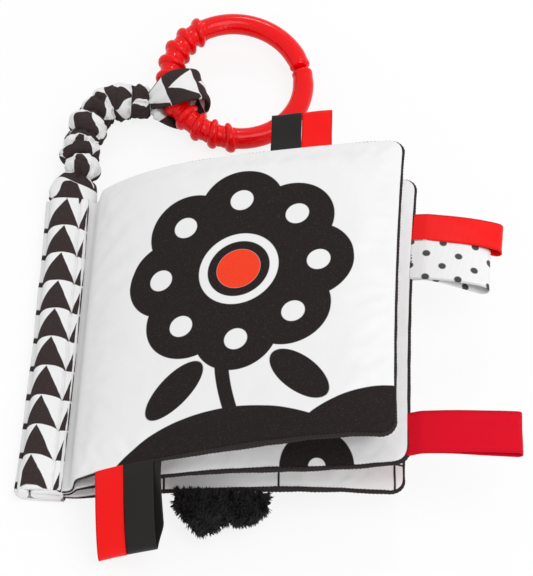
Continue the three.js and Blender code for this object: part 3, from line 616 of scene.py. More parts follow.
def fleece_material(name, triangles, pile, **size):
    """Short fleece printed with rows of triangles, in the piece's own millimetres."""
    look = Finish(name, roughness=0.85, specular=0.08, sheen=0.03)
    u, v = look.place()
    nap = look.group(pile)
    wander = (nap["Nap"] - 0.5) * 0.9
    ink = look.group(triangles, U=u + wander, V=v + wander, **size)
    dark = look.mix(nap["Tips"] * 0.6, FLEECE_BLACK, FLEECE_TIPS)
    white = look.shade(WHITE_CLOTH, nap["Nap"], 0.08)
    return look.done(look.mix(ink["Ink"], white, dark), nap["Height"], depth=0.16)


def plain_cloth_material(name, pile):
    """The unprinted reverse of the fleece."""
    look = Finish(name, roughness=0.95, specular=0.2, sheen=0.1)
    nap = look.group(pile)
    return look.done(look.shade(WHITE_CLOTH, nap["Nap"], 0.1), nap["Height"], depth=0.22)


def thread_material():
    """Overlock thread: slanting strands round the edging. Its UV holds distance and turn."""
    look = Finish("edging_thread", roughness=0.8, specular=0.1)
    strand_pitch = 0.43
    u, v = look.place()
    strand = (u * (TAU / strand_pitch) + v * 2.0).sine() * 0.5 + 0.5
    return look.done(look.mix(strand, THREAD_BLACK, THREAD_LIGHT), strand, depth=0.12)


def satin_material(name, satin, colour, half_width, dots=None):
    """Satin ribbon: brighter along its lines, darker at its selvedge, with dots if given."""
    look = Finish(name, roughness=0.46, specular=0.14)
    set_inputs(look.shader, Anisotropic=0.5)
    u, v = look.place()
    weave = look.group(satin, U=u, V=v, Half_Width=half_width)
    base = look.shade(colour, weave["Line"], 0.22)
    base = look.mix(weave["Selvedge"] * 0.35, base, tuple(channel * 0.55 for channel in colour))
    if dots:
        base = look.mix(look.group(dots, U=u, V=v)["Ink"], base, RIBBON_DOTS)
    return look.done(base, weave["Height"], depth=0.05)


def tape_material(tape):
    """Red woven tape, plain."""
    look = Finish("woven_tape", roughness=0.7, specular=0.1)
    u, v = look.place()
    weave = look.group(tape, U=u, V=v)
    base = look.shade(TAPE_RED, weave["Thread"], 0.45)
    base = look.mix(weave["Band"] * 0.4, base, tuple(0.72 * channel for channel in TAPE_RED))
    return look.done(base, weave["Height"], depth=0.12)


def ring_material():
    """Glossy moulded plastic with a faint unevenness and light scuffs."""
    look = Finish("moulded_plastic", roughness=0.14, specular=0.22)
    flow = noise(look.tree, 60, 2)
    scuff = ((noise(look.tree, 900, 4, stretch=(1, 0.2, 1)) - 0.62) * 5.0).clamped()
    feed(look.tree, scuff.made("MULTIPLY_ADD", 0.22, 0.14), look.shader.inputs["Roughness"])
    return look.done(look.shade(RING_RED, flow, 0.14), flow, depth=0.25, strength=0.35)


def plush_material():
    """Black plush: fibres a little lighter at their tips."""
    look = Finish("plush_fibre", roughness=0.6, specular=0.15)
    _, v = look.place()
    colour = look.mix((v * v).clamped(), PLUSH_BLACK, PLUSH_TIPS)
    return look.done(colour, noise(look.tree, 1500, 3), depth=0.2)


# Meshes

def make_piece(name, points, patches, materials):
    """A mesh object from points in millimetres. Each patch is rows of point numbers, the cloth
    place of each corner, and a material slot. The faces are turned round where the volume that
    they close is negative."""
    volume = 0.0
    for corners, _, _ in patches:
        first = points[corners[:, 0]]
        for k in range(1, corners.shape[1] - 1):
            crossed = np.cross(points[corners[:, k]], points[corners[:, k + 1]])
            volume += float((first * crossed).sum())
    turned = volume < 0
    loops, starts, places, slots, at = [], [], [], [], 0
    for corners, cloth, slot in patches:
        if turned:
            corners, cloth = corners[:, ::-1], cloth[:, ::-1]
        count, sides = corners.shape
        loops.append(corners.ravel())
        starts.append(at + np.arange(count) * sides)
        places.append(cloth.reshape(-1, 2))
        slots.append(np.full(count, slot))
        at += count * sides
    mesh = bpy.data.meshes.new(name)
    mesh.vertices.add(len(points))
    mesh.vertices.foreach_set("co", (points * MM).astype(np.float32).ravel())
    mesh.loops.add(at)
    mesh.loops.foreach_set("vertex_index", np.concatenate(loops).astype(np.int32))
    mesh.polygons.add(sum(len(start) for start in starts))
    mesh.polygons.foreach_set("loop_start", np.concatenate(starts).astype(np.int32))
    mesh.polygons.foreach_set("material_index", np.concatenate(slots).astype(np.int32))
    cloth_map = mesh.uv_layers.new(name="cloth")
    cloth_map.data.foreach_set("uv", np.concatenate(places).astype(np.float32).ravel())
    mesh.update(calc_edges=True)
    mesh.shade_smooth()
    for material in materials:
        mesh.materials.append(material)
    piece = bpy.data.objects.new(name, mesh)
    bpy.context.scene.collection.objects.link(piece)
    return piece


def grid_patch(first, rows, columns, cloth, slot=0, wrap=False, flip=False):
    """Quads over a grid of points that are numbered row by row."""
    row = np.arange(rows - 1)[:, None]
    column = np.arange(columns if wrap else columns - 1)[None, :]
    following = (column + 1) % columns
    corners = first + np.stack([
        row * columns + column, (row + 1) * columns + column,
        (row + 1) * columns + following, row * columns + following,
    ], axis=-1).reshape(-1, 4)
    places = np.stack(
        [cloth[:-1, :-1], cloth[1:, :-1], cloth[1:, 1:], cloth[:-1, 1:]], axis=2).reshape(-1, 4, 2)
    if flip:
        return corners[:, ::-1], places[:, ::-1], slot
    return corners, places, slot


def closed_sheet(name, face, back, cloth, materials, slots=(0, 0, 0)):
    """A sheet with a grid of points on its face, one on its back, and a wall round the rim."""
    rows, columns = face.shape[:2]
    count = rows * columns
    rim = np.concatenate([
        np.arange(columns - 1), np.arange(rows - 1) * columns + columns - 1,
        (rows - 1) * columns + np.arange(columns - 1, 0, -1), np.arange(rows - 1, 0, -1) * columns,
    ])
    following = np.roll(rim, -1)
    wall = np.stack([rim, following, count + following, count + rim], axis=-1)
    flat = cloth.reshape(-1, 2)
    wall_cloth = np.stack([flat[rim], flat[following], flat[following], flat[rim]], axis=1)
    patches = [
        grid_patch(0, rows, columns, cloth, slots[0]),
        grid_patch(count, rows, columns, cloth, slots[1], flip=True),
        (wall, wall_cloth, slots[2]),
    ]
    return make_piece(
        name, np.concatenate([face.reshape(-1, 3), back.reshape(-1, 3)]), patches, materials)


def closed_tube(name, rings, cloth, material):
    """Quads between neighbouring rings of points, and a fan to the middle of each end ring.
    The cloth's places have one column more than the rings, so that they don't jump at a seam."""
    count, sides = rings.shape[:2]
    last = (count - 1) * sides
    column = np.arange(sides)
    following = (column + 1) % sides
    middles = np.full(sides, count * sides)
    start = np.stack([column, following, middles], axis=-1)
    end = np.stack([last + following, last + column, middles + 1], axis=-1)
    start_cloth = np.stack([cloth[0, :-1], cloth[0, 1:], cloth[0, :-1]], axis=1)
    end_cloth = np.stack([cloth[-1, 1:], cloth[-1, :-1], cloth[-1, :-1]], axis=1)
    points = np.concatenate([
        rings.reshape(-1, 3), rings[0].mean(axis=0)[None], rings[-1].mean(axis=0)[None]])
    patches = [
        grid_patch(0, count, sides, cloth, wrap=True), (start, start_cloth, 0), (end, end_cloth, 0)]
    return make_piece(name, points, patches, [material])


def around(sides):
    """Turns round a tube, and the same with the first one repeated a full turn on."""
    turn = np.arange(sides) * (TAU / sides)
    return turn, np.append(turn, TAU)


def path_frames(path, up):
    """Unit vectors along a path, to its side and away from it, the last as near to up as can be."""
    heading = unit(np.gradient(path, axis=0))
    side = unit(np.cross(heading, np.broadcast_to(up, path.shape)))
    return heading, side, np.cross(side, heading)


def oval_rings(path, side, rise, wide, tall, turn):
    """Rings of points round a path, at given distances to its side and away from it."""
    return (path[:, None] + side[:, None] * (wide * np.cos(turn))[..., None]
            + rise[:, None] * (tall * np.sin(turn))[..., None])


# Leaves

class Leaf:
    """A leaf's middle surface, the same as that of its solids."""

    def __init__(self, name):
        self.name = name
        self.shape = LEAVES[name]
        self.length = self.shape["length"]
        self.near = self.side_view(self.shape["near"])
        self.far = self.side_view(self.shape["far"])
        climb = self.shape["turn"] - self.shape["sewn"]
        self.run = 1.08 * math.hypot(TURN_X - MOUTH_X, climb)

    def side_view(self, slopes):
        """Distance, x, z and slope at fine steps: the slope runs evenly between the listed
        angles, and carries on straight past the free edge."""
        steps, spare = 96, 6
        step = self.length / steps
        middle = (np.arange(steps + spare) + 0.5) * step
        angle = np.radians(slopes)
        knots = np.linspace(0, self.length, len(slopes))
        slope = np.interp(middle, knots, angle)
        x = TURN_X + np.concatenate([[0], np.cumsum(step * np.cos(slope))])
        z = self.shape["turn"] + np.concatenate([[0], np.cumsum(step * np.sin(slope))])
        distance = np.arange(steps + spare + 1) * step
        return distance, x, z, np.interp(distance, knots, angle)

    def place(self, along, across, lift=0.0):
        """A point at a flat place on the leaf, lifted off its middle. On the page it lies
        between the two side views; before the turn line it follows a Bezier curve down to the
        sleeve's mouth and then runs level."""
        along, across, lift = np.broadcast_arrays(
            np.asarray(along, float), np.asarray(across, float), np.asarray(lift, float))
        on_page = np.maximum(along, 0)
        pull = 1 - (SIDE_DRAW_IN / self.length) * (1 - (across / HALF_HEIGHT) ** 2)
        waist = np.maximum(4 * (on_page / self.length) * (1 - on_page / self.length), 0)
        y = across * (1 - (SIDE_DRAW_IN / HALF_HEIGHT) * waist)
        share = y / PAGE_HEIGHT + 0.5
        reach = on_page * pull
        x, z, slope = (
            lerp(np.interp(reach, self.near[0], near), np.interp(reach, self.far[0], far), share)
            for near, far in zip(self.near[1:], self.far[1:]))
        lean_x, lean_z = np.cos(slope), np.sin(slope)
        t = np.clip(-along / self.run, 0, 1)
        turn, sewn = self.shape["turn"], self.shape["sewn"]
        leave, arrive = 0.33 * self.run, 0.42 * self.run
        curve_x, speed_x = bezier([TURN_X, TURN_X - leave * lean_x, MOUTH_X + arrive, MOUTH_X], t)
        curve_z, speed_z = bezier([turn, turn - leave * lean_z, sewn, sewn], t)
        speed = np.hypot(speed_x, speed_z)
        before = along < 0
        x = np.where(before, curve_x - np.maximum(-along - self.run, 0), x)
        z = np.where(before, curve_z, z)
        lean_x = np.where(before, -speed_x / speed, lean_x)
        lean_z = np.where(before, -speed_z / speed, lean_z)
        return np.stack([x - lift * lean_z, y, z + lift * lean_x], axis=-1)

    def directions(self, along, across):
        """At a flat place: unit vectors along the page, across it and out."""
        small = 0.1
        here = self.place(along, across)
        onward = unit(self.place(along + small, across) - here)
        sideways = unit(self.place(along, across + small) - here)
        return onward, sideways, unit(np.cross(onward, sideways))

    def cut(self, across):
        """Where the free edge of the cloth would run if its corners were square."""
        return self.length - np.interp(across, [-HALF_HEIGHT, HALF_HEIGHT], self.shape["trim"])

    def reach(self, across):
        """How far the page reaches: less inside its rounded corners."""
        into = np.maximum(0, np.abs(across) - (HALF_HEIGHT - CORNER_RADIUS))
        round_part = np.sqrt(np.maximum(CORNER_RADIUS ** 2 - into ** 2, 0))
        return self.cut(across) - CORNER_RADIUS + round_part


def bezier(corners, t):
    """A cubic Bezier curve through its first and last corner, and its rate of change."""
    a, b, c, d = corners
    s = 1 - t
    place = s ** 3 * a + 3 * s * s * t * b + 3 * s * t * t * c + t ** 3 * d
    rate = 3 * s * s * (b - a) + 6 * s * t * (c - b) + 3 * t * t * (d - c)
    return place, rate


# In millimetres: how far in from an edge of the leaf its outermost points stand, how far apart
# the others stand, and how far in from the rim the padding is full.
EDGE_STEPS = np.array([0, 0.35, 1.0, 2.0, 3.4, 5.2])
CLOTH_STEP = 2.3
RIM_FADE = 13


def with_fine_ends(low, high, fine_low=True):
    """Places from low to high a cloth step apart, and closer near the ends."""
    start = low + EDGE_STEPS if fine_low else np.array([low])
    end = high - EDGE_STEPS[::-1]
    count = max(int(round((end[0] - start[-1]) / CLOTH_STEP)), 2)
    return np.concatenate([start, np.linspace(start[-1], end[0], count + 1)[1:-1], end])


def leaf_body(leaf, materials):
    """The padded leaf as one closed body, and how firmly each point is held by the sewing. Its
    thickness swells from the sewn rim with the distance to the nearest edge, and thins again to
    the flat margin in the sleeve."""
    across = with_fine_ends(-HALF_HEIGHT, HALF_HEIGHT)
    inside = np.linspace(-leaf.run - SEWN_DEPTH, 0, 12)[:-1]
    share = with_fine_ends(0.0, leaf.length, fine_low=False) / leaf.length
    reach = leaf.reach(across)
    along = np.concatenate([
        np.repeat(inside[:, None], len(across), axis=1), share[:, None] * reach[None, :]])
    across = np.broadcast_to(across, along.shape)
    to_side = HALF_HEIGHT - np.abs(across)
    to_free = reach[None, :] - along
    swell = 1 - (1 - np.clip(np.minimum(to_side, to_free) / RIM_FADE, 0, 1)) ** 2.6
    rim, full = RIM_THICKNESS / 2, LEAF_THICKNESS / 2 - 0.3
    margin = MARGIN_THICKNESS / 2 * (0.7 + 0.3 * np.clip(to_side / 2, 0, 1))
    half = lerp(margin, rim + (full - rim) * swell, smooth_step(-9, 8, along))
    piece = closed_sheet(
        f"{leaf.name}_body", leaf.place(along, across, half), leaf.place(along, across, -half),
        np.stack([along, across], axis=-1), materials, slots=(0, 1, 0))
    to_edge = np.minimum(np.minimum(to_side, to_free), np.maximum(along + 2, 0))
    held = 1 - smooth_step(0.5, 9, to_edge)
    return piece, np.concatenate([held.ravel(), held.ravel()])


# The leaves' cloth simulation: how much larger they are made for it, its last frame, the most
# that a point may move in millimetres, and its settings.
SIM_SCALE, SIM_FRAMES, SIM_CAP = 10.0, 20, 1.5
CLOTH_SETTINGS = {
    "quality": 6, "mass": 0.03, "tension_stiffness": 12, "compression_stiffness": 12,
    "shear_stiffness": 6, "bending_stiffness": 0.08, "vertex_group_mass": "sewn",
    "pin_stiffness": 1, "shrink_min": -0.035, "shrink_max": -0.035, "use_pressure": True,
    "uniform_pressure_force": 1.2,
}


def swell_leaves(leaves):
    """Cloth simulation of the padded leaves together. Each is made ten times as large, its rim
    held, and blown up gently with cloth a little larger than its frame. What moved is capped
    and brought back to size."""
    scene = bpy.context.scene
    rest = {}
    for piece, held in leaves:
        points = np.empty(len(piece.data.vertices) * 3)
        piece.data.vertices.foreach_get("co", points)
        rest[piece.name] = points.reshape(-1, 3).copy()
        piece.data.vertices.foreach_set("co", points * SIM_SCALE)
        sewn = piece.vertex_groups.new(name="sewn")
        for level in range(1, 11):
            chosen = np.nonzero(np.round(held * 10) == level)[0]
            sewn.add(chosen.tolist(), level / 10, "REPLACE")
        cloth = piece.modifiers.new("padding", "CLOTH")
        for label, value in CLOTH_SETTINGS.items():
            setattr(cloth.settings, label, value)
        cloth.settings.effector_weights.gravity = 0
        cloth.point_cache.frame_start, cloth.point_cache.frame_end = 1, SIM_FRAMES
    for moment in range(1, SIM_FRAMES + 1):
        scene.frame_set(moment)
    graph = bpy.context.evaluated_depsgraph_get()
    for piece, _ in leaves:
        moved = np.empty(len(piece.data.vertices) * 3)
        piece.evaluated_get(graph).data.vertices.foreach_get("co", moved)
        start = rest[piece.name]
        shift = moved.reshape(-1, 3) / SIM_SCALE - start
        far = np.linalg.norm(shift, axis=1, keepdims=True) / (SIM_CAP * MM)
        shift = shift * np.tanh(far) / np.maximum(far, 1e-6)
        piece.modifiers.clear()
        piece.vertex_groups.clear()
        piece.data.vertices.foreach_set("co", (start + shift).ravel())
        piece.data.update()
        print(piece.name, "swelled by up to", round(float(np.abs(shift).max()) / MM, 2), "mm")
    scene.frame_set(1)


def subdivide(piece):
    """Rounds a piece by one level of subdivision, applied to its mesh."""
    modifier = piece.modifiers.new("rounding", "SUBSURF")
    modifier.levels = modifier.render_levels = 1
    modifier.uv_smooth = "PRESERVE_BOUNDARIES"
    graph = bpy.context.evaluated_depsgraph_get()
    made = bpy.data.meshes.new_from_object(piece.evaluated_get(graph))
    made.name = piece.data.name
    piece.modifiers.clear()
    piece.data = made


# Overlocked edging, in millimetres: the length of a stitch, how far the thread's middle lies
# outside the cloth, and half its width and height where it is full.
STITCH = 1.35
EDGING_OUT = 0.28
EDGING_HALF_WIDE, EDGING_HALF_TALL = 0.58, 0.82


def leaf_edging(leaf, material):
    """Overlocked thread round a leaf: an oval tube along its rim whose radius rises and falls
    once a stitch, with each stitch slanting over the edge. It is thin beside the spine and lies
    lower along the far edge, where the cloth rolls over it."""
    per_stitch, side_points = 5, 90
    radius, square = CORNER_RADIUS + EDGING_OUT, HALF_HEIGHT - CORNER_RADIUS
    turn = np.radians(np.linspace(0, 90, 10))
    corner_along = radius * np.sin(turn) - CORNER_RADIUS
    corner_across = -square - radius * np.cos(turn)
    start = np.linspace(-leaf.run - 1.5, leaf.length - CORNER_RADIUS - 3, side_points)
    free = np.linspace(-square, square, 70)[1:-1]
    side_across = np.full(side_points, -HALF_HEIGHT - EDGING_OUT)
    along = np.concatenate([
        start, leaf.cut(corner_across) + corner_along, leaf.cut(free) + EDGING_OUT,
        leaf.cut(-corner_across[::-1]) + corner_along[::-1], start[::-1]])
    across = np.concatenate([side_across, corner_across, free, -corner_across[::-1], -side_across])
    distance = distances(leaf.place(along, across))
    even = np.linspace(0, distance[-1], int(distance[-1] / STITCH) * per_stitch)
    along, across = np.interp(even, distance, along), np.interp(even, distance, across)
    lift = -0.3 - 0.85 * smooth_step(HALF_HEIGHT - 9, HALF_HEIGHT - 1, across)
    up = unit(leaf.place(along, across, 1.0) - leaf.place(along, across, 0.0))
    path = leaf.place(along, across, lift)
    _, side, rise = path_frames(path, up)
    turn, closed_turn = around(10)
    wave = np.sin(TAU * even[:, None] / STITCH + 1.1 * np.sin(turn)[None, :])
    wobble = 1 + 0.14 * ripple(11, even[:, None] * 0.6, turn[None, :] * 0.5)
    near = smooth_step(HALF_HEIGHT - 8, HALF_HEIGHT, -across)
    thin = lerp(0.3, 1.0, smooth_step(-3, 14, along))
    thin = thin * (1 + 0.3 * near * smooth_step(10, 30, along))
    thin = thin[:, None] * (1 + 0.22 * ripple(12, even * 0.12))[:, None]
    size = (1 + 0.1 * wave) * wobble * thin
    rings = oval_rings(path, side, rise, size * EDGING_HALF_WIDE, size * EDGING_HALF_TALL, turn)
    return closed_tube(f"{leaf.name}_overlock", rings, pairs(even, closed_turn), material)


# Spine sleeve

# In millimetres: the sleeve's wall, the rounding of its lips, its near end and its seam; how deep
# the seam is and how far it reaches, the same for the puckers beside it, and the crown's drop.
SLEEVE_WALL = 1.3
SLEEVE_LIP = 1.1
SLEEVE_END_Y = -61.0
SEAM_X = 4.7
SEAM_DEPTH, SEAM_REACH = 1.15, 0.42
PUCKER_DEPTH, PUCKER_REACH = 0.62, 1.7
CROWN_DROP = 0.95

# Centre and half size, across and up, of three shapes in its near end.
END_ROLL = (-6.35, 4.75), (2.25, 3.45)
END_HEM = (2.75, 4.85), (6.1, 3.55)
END_HOLLOW = (2.6, 5.3), (5.0, 0.5)

# Its print: half a column of triangles, the share of that which shows by the fold, and at four
# places along the spine, where the column's apex lies and how far from there its right side is.
HALF_COLUMN, FOLD_SIDE_SHARE = 6.3, 0.88
COLUMN_Y = [-61, -30, 0, 61]
COLUMN_APEX, COLUMN_RIGHT = [-5.0, -3.5, -2.1, -0.4], [8.8, 8.2, 7.6, 5.4]


def sleeve_outline(count):
    """The sleeve's outer outline from its upper lip, round the fold and back to its lower lip,
    at even steps: x, z and distance."""
    half, bend, lip = SLEEVE_WIDTH / 2, SLEEVE_THICKNESS / 2, SLEEVE_LIP
    fold = bend - half
    lip_turn, bend_turn = np.radians(np.linspace(-60, 90, 12)), np.radians(np.linspace(90, 270, 50))
    across = np.linspace(half - lip, fold, 60)[1:-1]
    upper = np.stack([
        half - lip + lip * np.cos(lip_turn), SLEEVE_THICKNESS - lip + lip * np.sin(lip_turn)], -1)
    outline = np.concatenate([
        upper, np.stack([across, np.full(58, SLEEVE_THICKNESS)], -1),
        np.stack([fold + bend * np.cos(bend_turn), bend + bend * np.sin(bend_turn)], -1),
        np.stack([across[::-1], np.zeros(58)], -1), upper[::-1] * [1, -1] + [0, SLEEVE_THICKNESS]])
    distance = distances(outline)
    even = np.linspace(0, distance[-1], count)
    return (*at_distances(even, distance, outline).T, even)


def narrowed(x, y):
    """The sleeve is a little narrower than its solid, from its fold, and bows in plan."""
    drawn = np.interp(y, [-61, -45, 0, 61], [1.2, 1.4, 1.6, 1.7])
    moved = np.interp(y, [-61, -10, 30, 61], [0, 0.5, 0.3, -0.4])
    return x + moved + drawn * (SLEEVE_WIDTH / 2 - x) / SLEEVE_WIDTH


def sleeve_print_place(x, y, distance):
    """Where a point of the sleeve lies on its cloth, in millimetres. A column of triangles runs
    along the spine, from the fold to beside the seam, and leans; the strip beyond the seam
    shows the next column's nearer half. Rows bow upwards in the middle."""
    upper = slice(np.argmin(x), 12, -1)
    apex = np.interp(y, COLUMN_Y, COLUMN_APEX)
    right = np.interp(y, COLUMN_Y, COLUMN_RIGHT)
    flat = np.interp(apex, x[upper], distance[upper])
    seam = np.interp(SEAM_X, x[upper], distance[upper])
    fold = distance[np.argmin(x)]
    from_apex = flat[None, :] - distance[:, None]
    across = x[:, None] - apex[None, :]
    right_part = np.minimum(from_apex / right, 1) * HALF_COLUMN
    beyond = np.clip(seam - distance, 0, None)[:, None] * 1.8
    by_distance, by_width = from_apex / (fold - flat), across / (apex + SLEEVE_WIDTH / 2)
    left_part = FOLD_SIDE_SHARE * HALF_COLUMN * (0.4 * by_distance + 0.6 * by_width)
    under = fold - distance[:, None] - FOLD_SIDE_SHARE * HALF_COLUMN
    left_part = np.where(distance[:, None] > fold, under, left_part)
    u = np.where(from_apex > 0, right_part + beyond, left_part)
    bow = 1.5 * np.clip(across / 7, -1.2, 1.2) ** 2
    return u, np.clip(np.broadcast_to(y + 60.6, u.shape) + bow, 0.02, 121.3)


def spine_sleeve(materials):
    """The printed sleeve as a folded sheet: its outline carried along the spine, sunk along the
    sewn seam, puckered beside it, and with its wall measured inwards."""
    x, z, distance = sleeve_outline(190)
    y = np.concatenate([[-61.7, -61.45, -61.0], np.linspace(-60.3, 60.6, 150), [61.0, 61.2]])
    tangent_x, tangent_z = np.gradient(x), np.gradient(z)
    size = np.hypot(tangent_x, tangent_z)
    in_x, in_z = -tangent_z / size, tangent_x / size
    inward = 1.0 if in_z[len(x) // 4] < 0 else -1.0
    in_x, in_z = in_x * inward, in_z * inward
    top = z > SLEEVE_THICKNESS * 0.7
    seam_line = SEAM_X + 0.3 * ripple(9, y * 0.35)
    from_seam = x[:, None] - seam_line[None, :]
    seam = bell(from_seam, SEAM_REACH) * top[:, None]
    beside = bell(from_seam - 0.9, PUCKER_REACH) * top[:, None]
    pucker = ripple(3, y * 1.15, y * 0.25)[None, :]
    ends = smooth_step(0, 0.9, y - y[0])
    crown_drop = CROWN_DROP * top * ((x - 0.5) / 8) ** 2
    sink = (SEAM_DEPTH * seam * (0.8 + 0.3 * pucker)
            + PUCKER_DEPTH * beside * (0.5 + 0.5 * pucker)
            + 0.2 * ripple(5, distance[:, None] * 0.35, y[None, :] * 0.16)
            + 0.45 * (1 - ends)[None, :] + crown_drop[:, None])
    rim = np.sin(np.pi * np.clip(distance / distance[-1], 0.01, 0.99))
    wall = SLEEVE_WALL * np.minimum(1, 0.35 + 0.65 * rim * 12)

    def skin(depth):
        across = narrowed(x[:, None] + in_x[:, None] * depth, y[None, :])
        return np.stack([
            across, np.broadcast_to(y, depth.shape), z[:, None] + in_z[:, None] * depth], axis=-1)

    cloth = np.stack(sleeve_print_place(x, y, distance), axis=-1)
    return closed_sheet(
        "sleeve_cover", skin(sink), skin(sink + wall[:, None]), cloth, materials, slots=(0, 1, 1))


def end_outline(shape, turn, squareness, size=1.0):
    """Across and up on a rounded box in the plane of the sleeve's end."""
    (centre_x, centre_z), (half_x, half_z) = shape
    across, up = rounded_box(turn, squareness)
    return centre_x + half_x * size * across, centre_z + half_z * size * up


def sleeve_end(material):
    """What shows in the sleeve's near end: the turned-in cloth rolled up at the fold, and the
    flattened hem beside it with a narrow hollow. Both are tubes whose rings turn in at the end."""
    sides = 40
    turn, closed_turn = around(sides)

    def ring(y, x, z):
        return np.stack([narrowed(x, SLEEVE_END_Y), np.full(sides, float(y)), z], -1)

    roll = [
        ring(y, *end_outline(END_ROLL, turn, 2.6, size))
        for y, size in [(-50, 1), (-60.6, 1), (-61.4, 0.97), (-61.9, 0.86), (-62.1, 0.6),
                        (-62.15, 0.3)]]
    hem_x, hem_z = end_outline(END_HEM, turn, 3.2)
    hole_x, hole_z = end_outline(END_HOLLOW, turn, 2.4)
    middle_z = END_HOLLOW[0][1]
    widen = 0.35 + 1.3 * smooth_step(3.5, 7.0, hole_x)
    hole_z = middle_z + (hole_z - middle_z) * widen - 0.5 * smooth_step(-1, 7, hole_x)
    hem = [
        ring(y, lerp(hem_x, hole_x, share), lerp(hem_z, hole_z, share))
        for y, share in [(-50, 0), (-60.6, 0), (-61.4, 0.04), (-61.85, 0.16), (-62.0, 0.4),
                         (-62.0, 0.7), (-61.8, 0.92), (-61.3, 1), (-55, 1)]]
    return [
        closed_tube(name, np.array(rings), pairs(np.arange(float(len(rings))), closed_turn), material)
        for name, rings in (("sleeve_roll", roll), ("sleeve_hem", hem))]


# Strap, loop and ring

def ring_frame(points):
    """Points of the ring's own frame, tilted about X and Y and moved to its centre."""
    a, b = math.radians(RING_FAR_TILT_ANGLE), math.radians(RING_LEFT_TILT_ANGLE)
    about_x = np.array([[1, 0, 0], [0, math.cos(a), -math.sin(a)], [0, math.sin(a), math.cos(a)]])
    about_y = np.array([[math.cos(b), 0, math.sin(b)], [0, 1, 0], [-math.sin(b), 0, math.cos(b)]])
    return points @ (about_x @ about_y).T + RING_CENTRE


def loop_pivot():
    """Where the strap ends and the loop hangs on it."""
    angle = math.radians(LOOP_ANGLE)
    return ring_frame(LOOP_PIVOT_RADIUS * np.array([math.cos(angle), math.sin(angle), 0.0]))


def strap_route():
    """The strap's centre line at fine even steps, a centripetal Catmull-Rom curve: each span is
    the cubic whose end slopes come from its neighbours, weighed by the roots of their lengths."""
    shares = np.array(STRAP_ROUTE_SHARES)
    rise = np.minimum(np.arange(len(shares)) / 2, 1)
    given = np.column_stack([
        shares[:, 0] * STRAP_REACH, HALF_HEIGHT + shares[:, 1] * STRAP_REACH,
        lerp(SLEEVE_THICKNESS / 2, STRAP_REST_HEIGHT, rise)])
    given = np.vstack([given, loop_pivot()])
    given = np.vstack([2 * given[0] - given[1], given, 2 * given[-1] - given[-2]])
    t = np.linspace(0, 1, 60, endpoint=False)[:, None]
    spans = []
    for p, q, r, s in zip(given, given[1:], given[2:], given[3:]):
        a, b, c = (math.sqrt(np.linalg.norm(end - start)) for start, end in ((p, q), (q, r), (r, s)))
        leave = ((q - p) / a - (r - p) / (a + b) + (r - q) / b) * b
        arrive = ((r - q) / b - (s - q) / (b + c) + (s - r) / c) * b
        spans.append(q + leave * t + (-3 * q + 3 * r - 2 * leave - arrive) * t ** 2
                     + (2 * q - 2 * r + leave + arrive) * t ** 3)
    path = np.vstack([*spans, given[-2]])
    distance = distances(path)
    even = np.linspace(0, distance[-1], 1200)
    return at_distances(even, distance, path), even


# Where the strap is drawn in, how thick it stays there, and each puff's share of the full size.
GATHERS = np.array([BASE_END_SHARE, 0.285, 0.40, 0.475, MIDDLE_SHARE, 0.725, 0.90, 1.0])
NECKS = np.array([3.6, 4.3, 4.7, 4.9, 4.6, 5.3, 4.9, 3.7])
PUFF_SIZES = np.array([0.94, 1.03, 0.9, 1.05, 0.98, 1.0, 0.88])
GATHER_SLANTS = np.array([0.3, -0.9, 1.1, -0.7, 0.9, -1.2, 1.2, 0.2])
GATHER_TURNS = np.array([0.5, 1.6, 2.9, 3.6, 4.4, 5.6, 6.6, 8.1])

# In millimetres: how far the strap's rings stand apart, how far its pleats reach from a gather,
# and how high pleats, long folds and creases are. Then the share, turn and height of the fold
# that stands up before its last gather, how many columns of the print go round the strap, and
# how much longer its cloth is than the strap.
STRAP_RING_STEP = 0.28
PLEAT_REACH, PLEAT_HEIGHT, FOLD_HEIGHT, CREASE_DEPTH = 2.1, 0.5, 0.7, 0.62
STANDING_SHARE, STANDING_TURN, STANDING_HEIGHT = 0.925, 2.4, 1.5
PRINT_COLUMNS, GATHERED_CLOTH = 3, 1.15


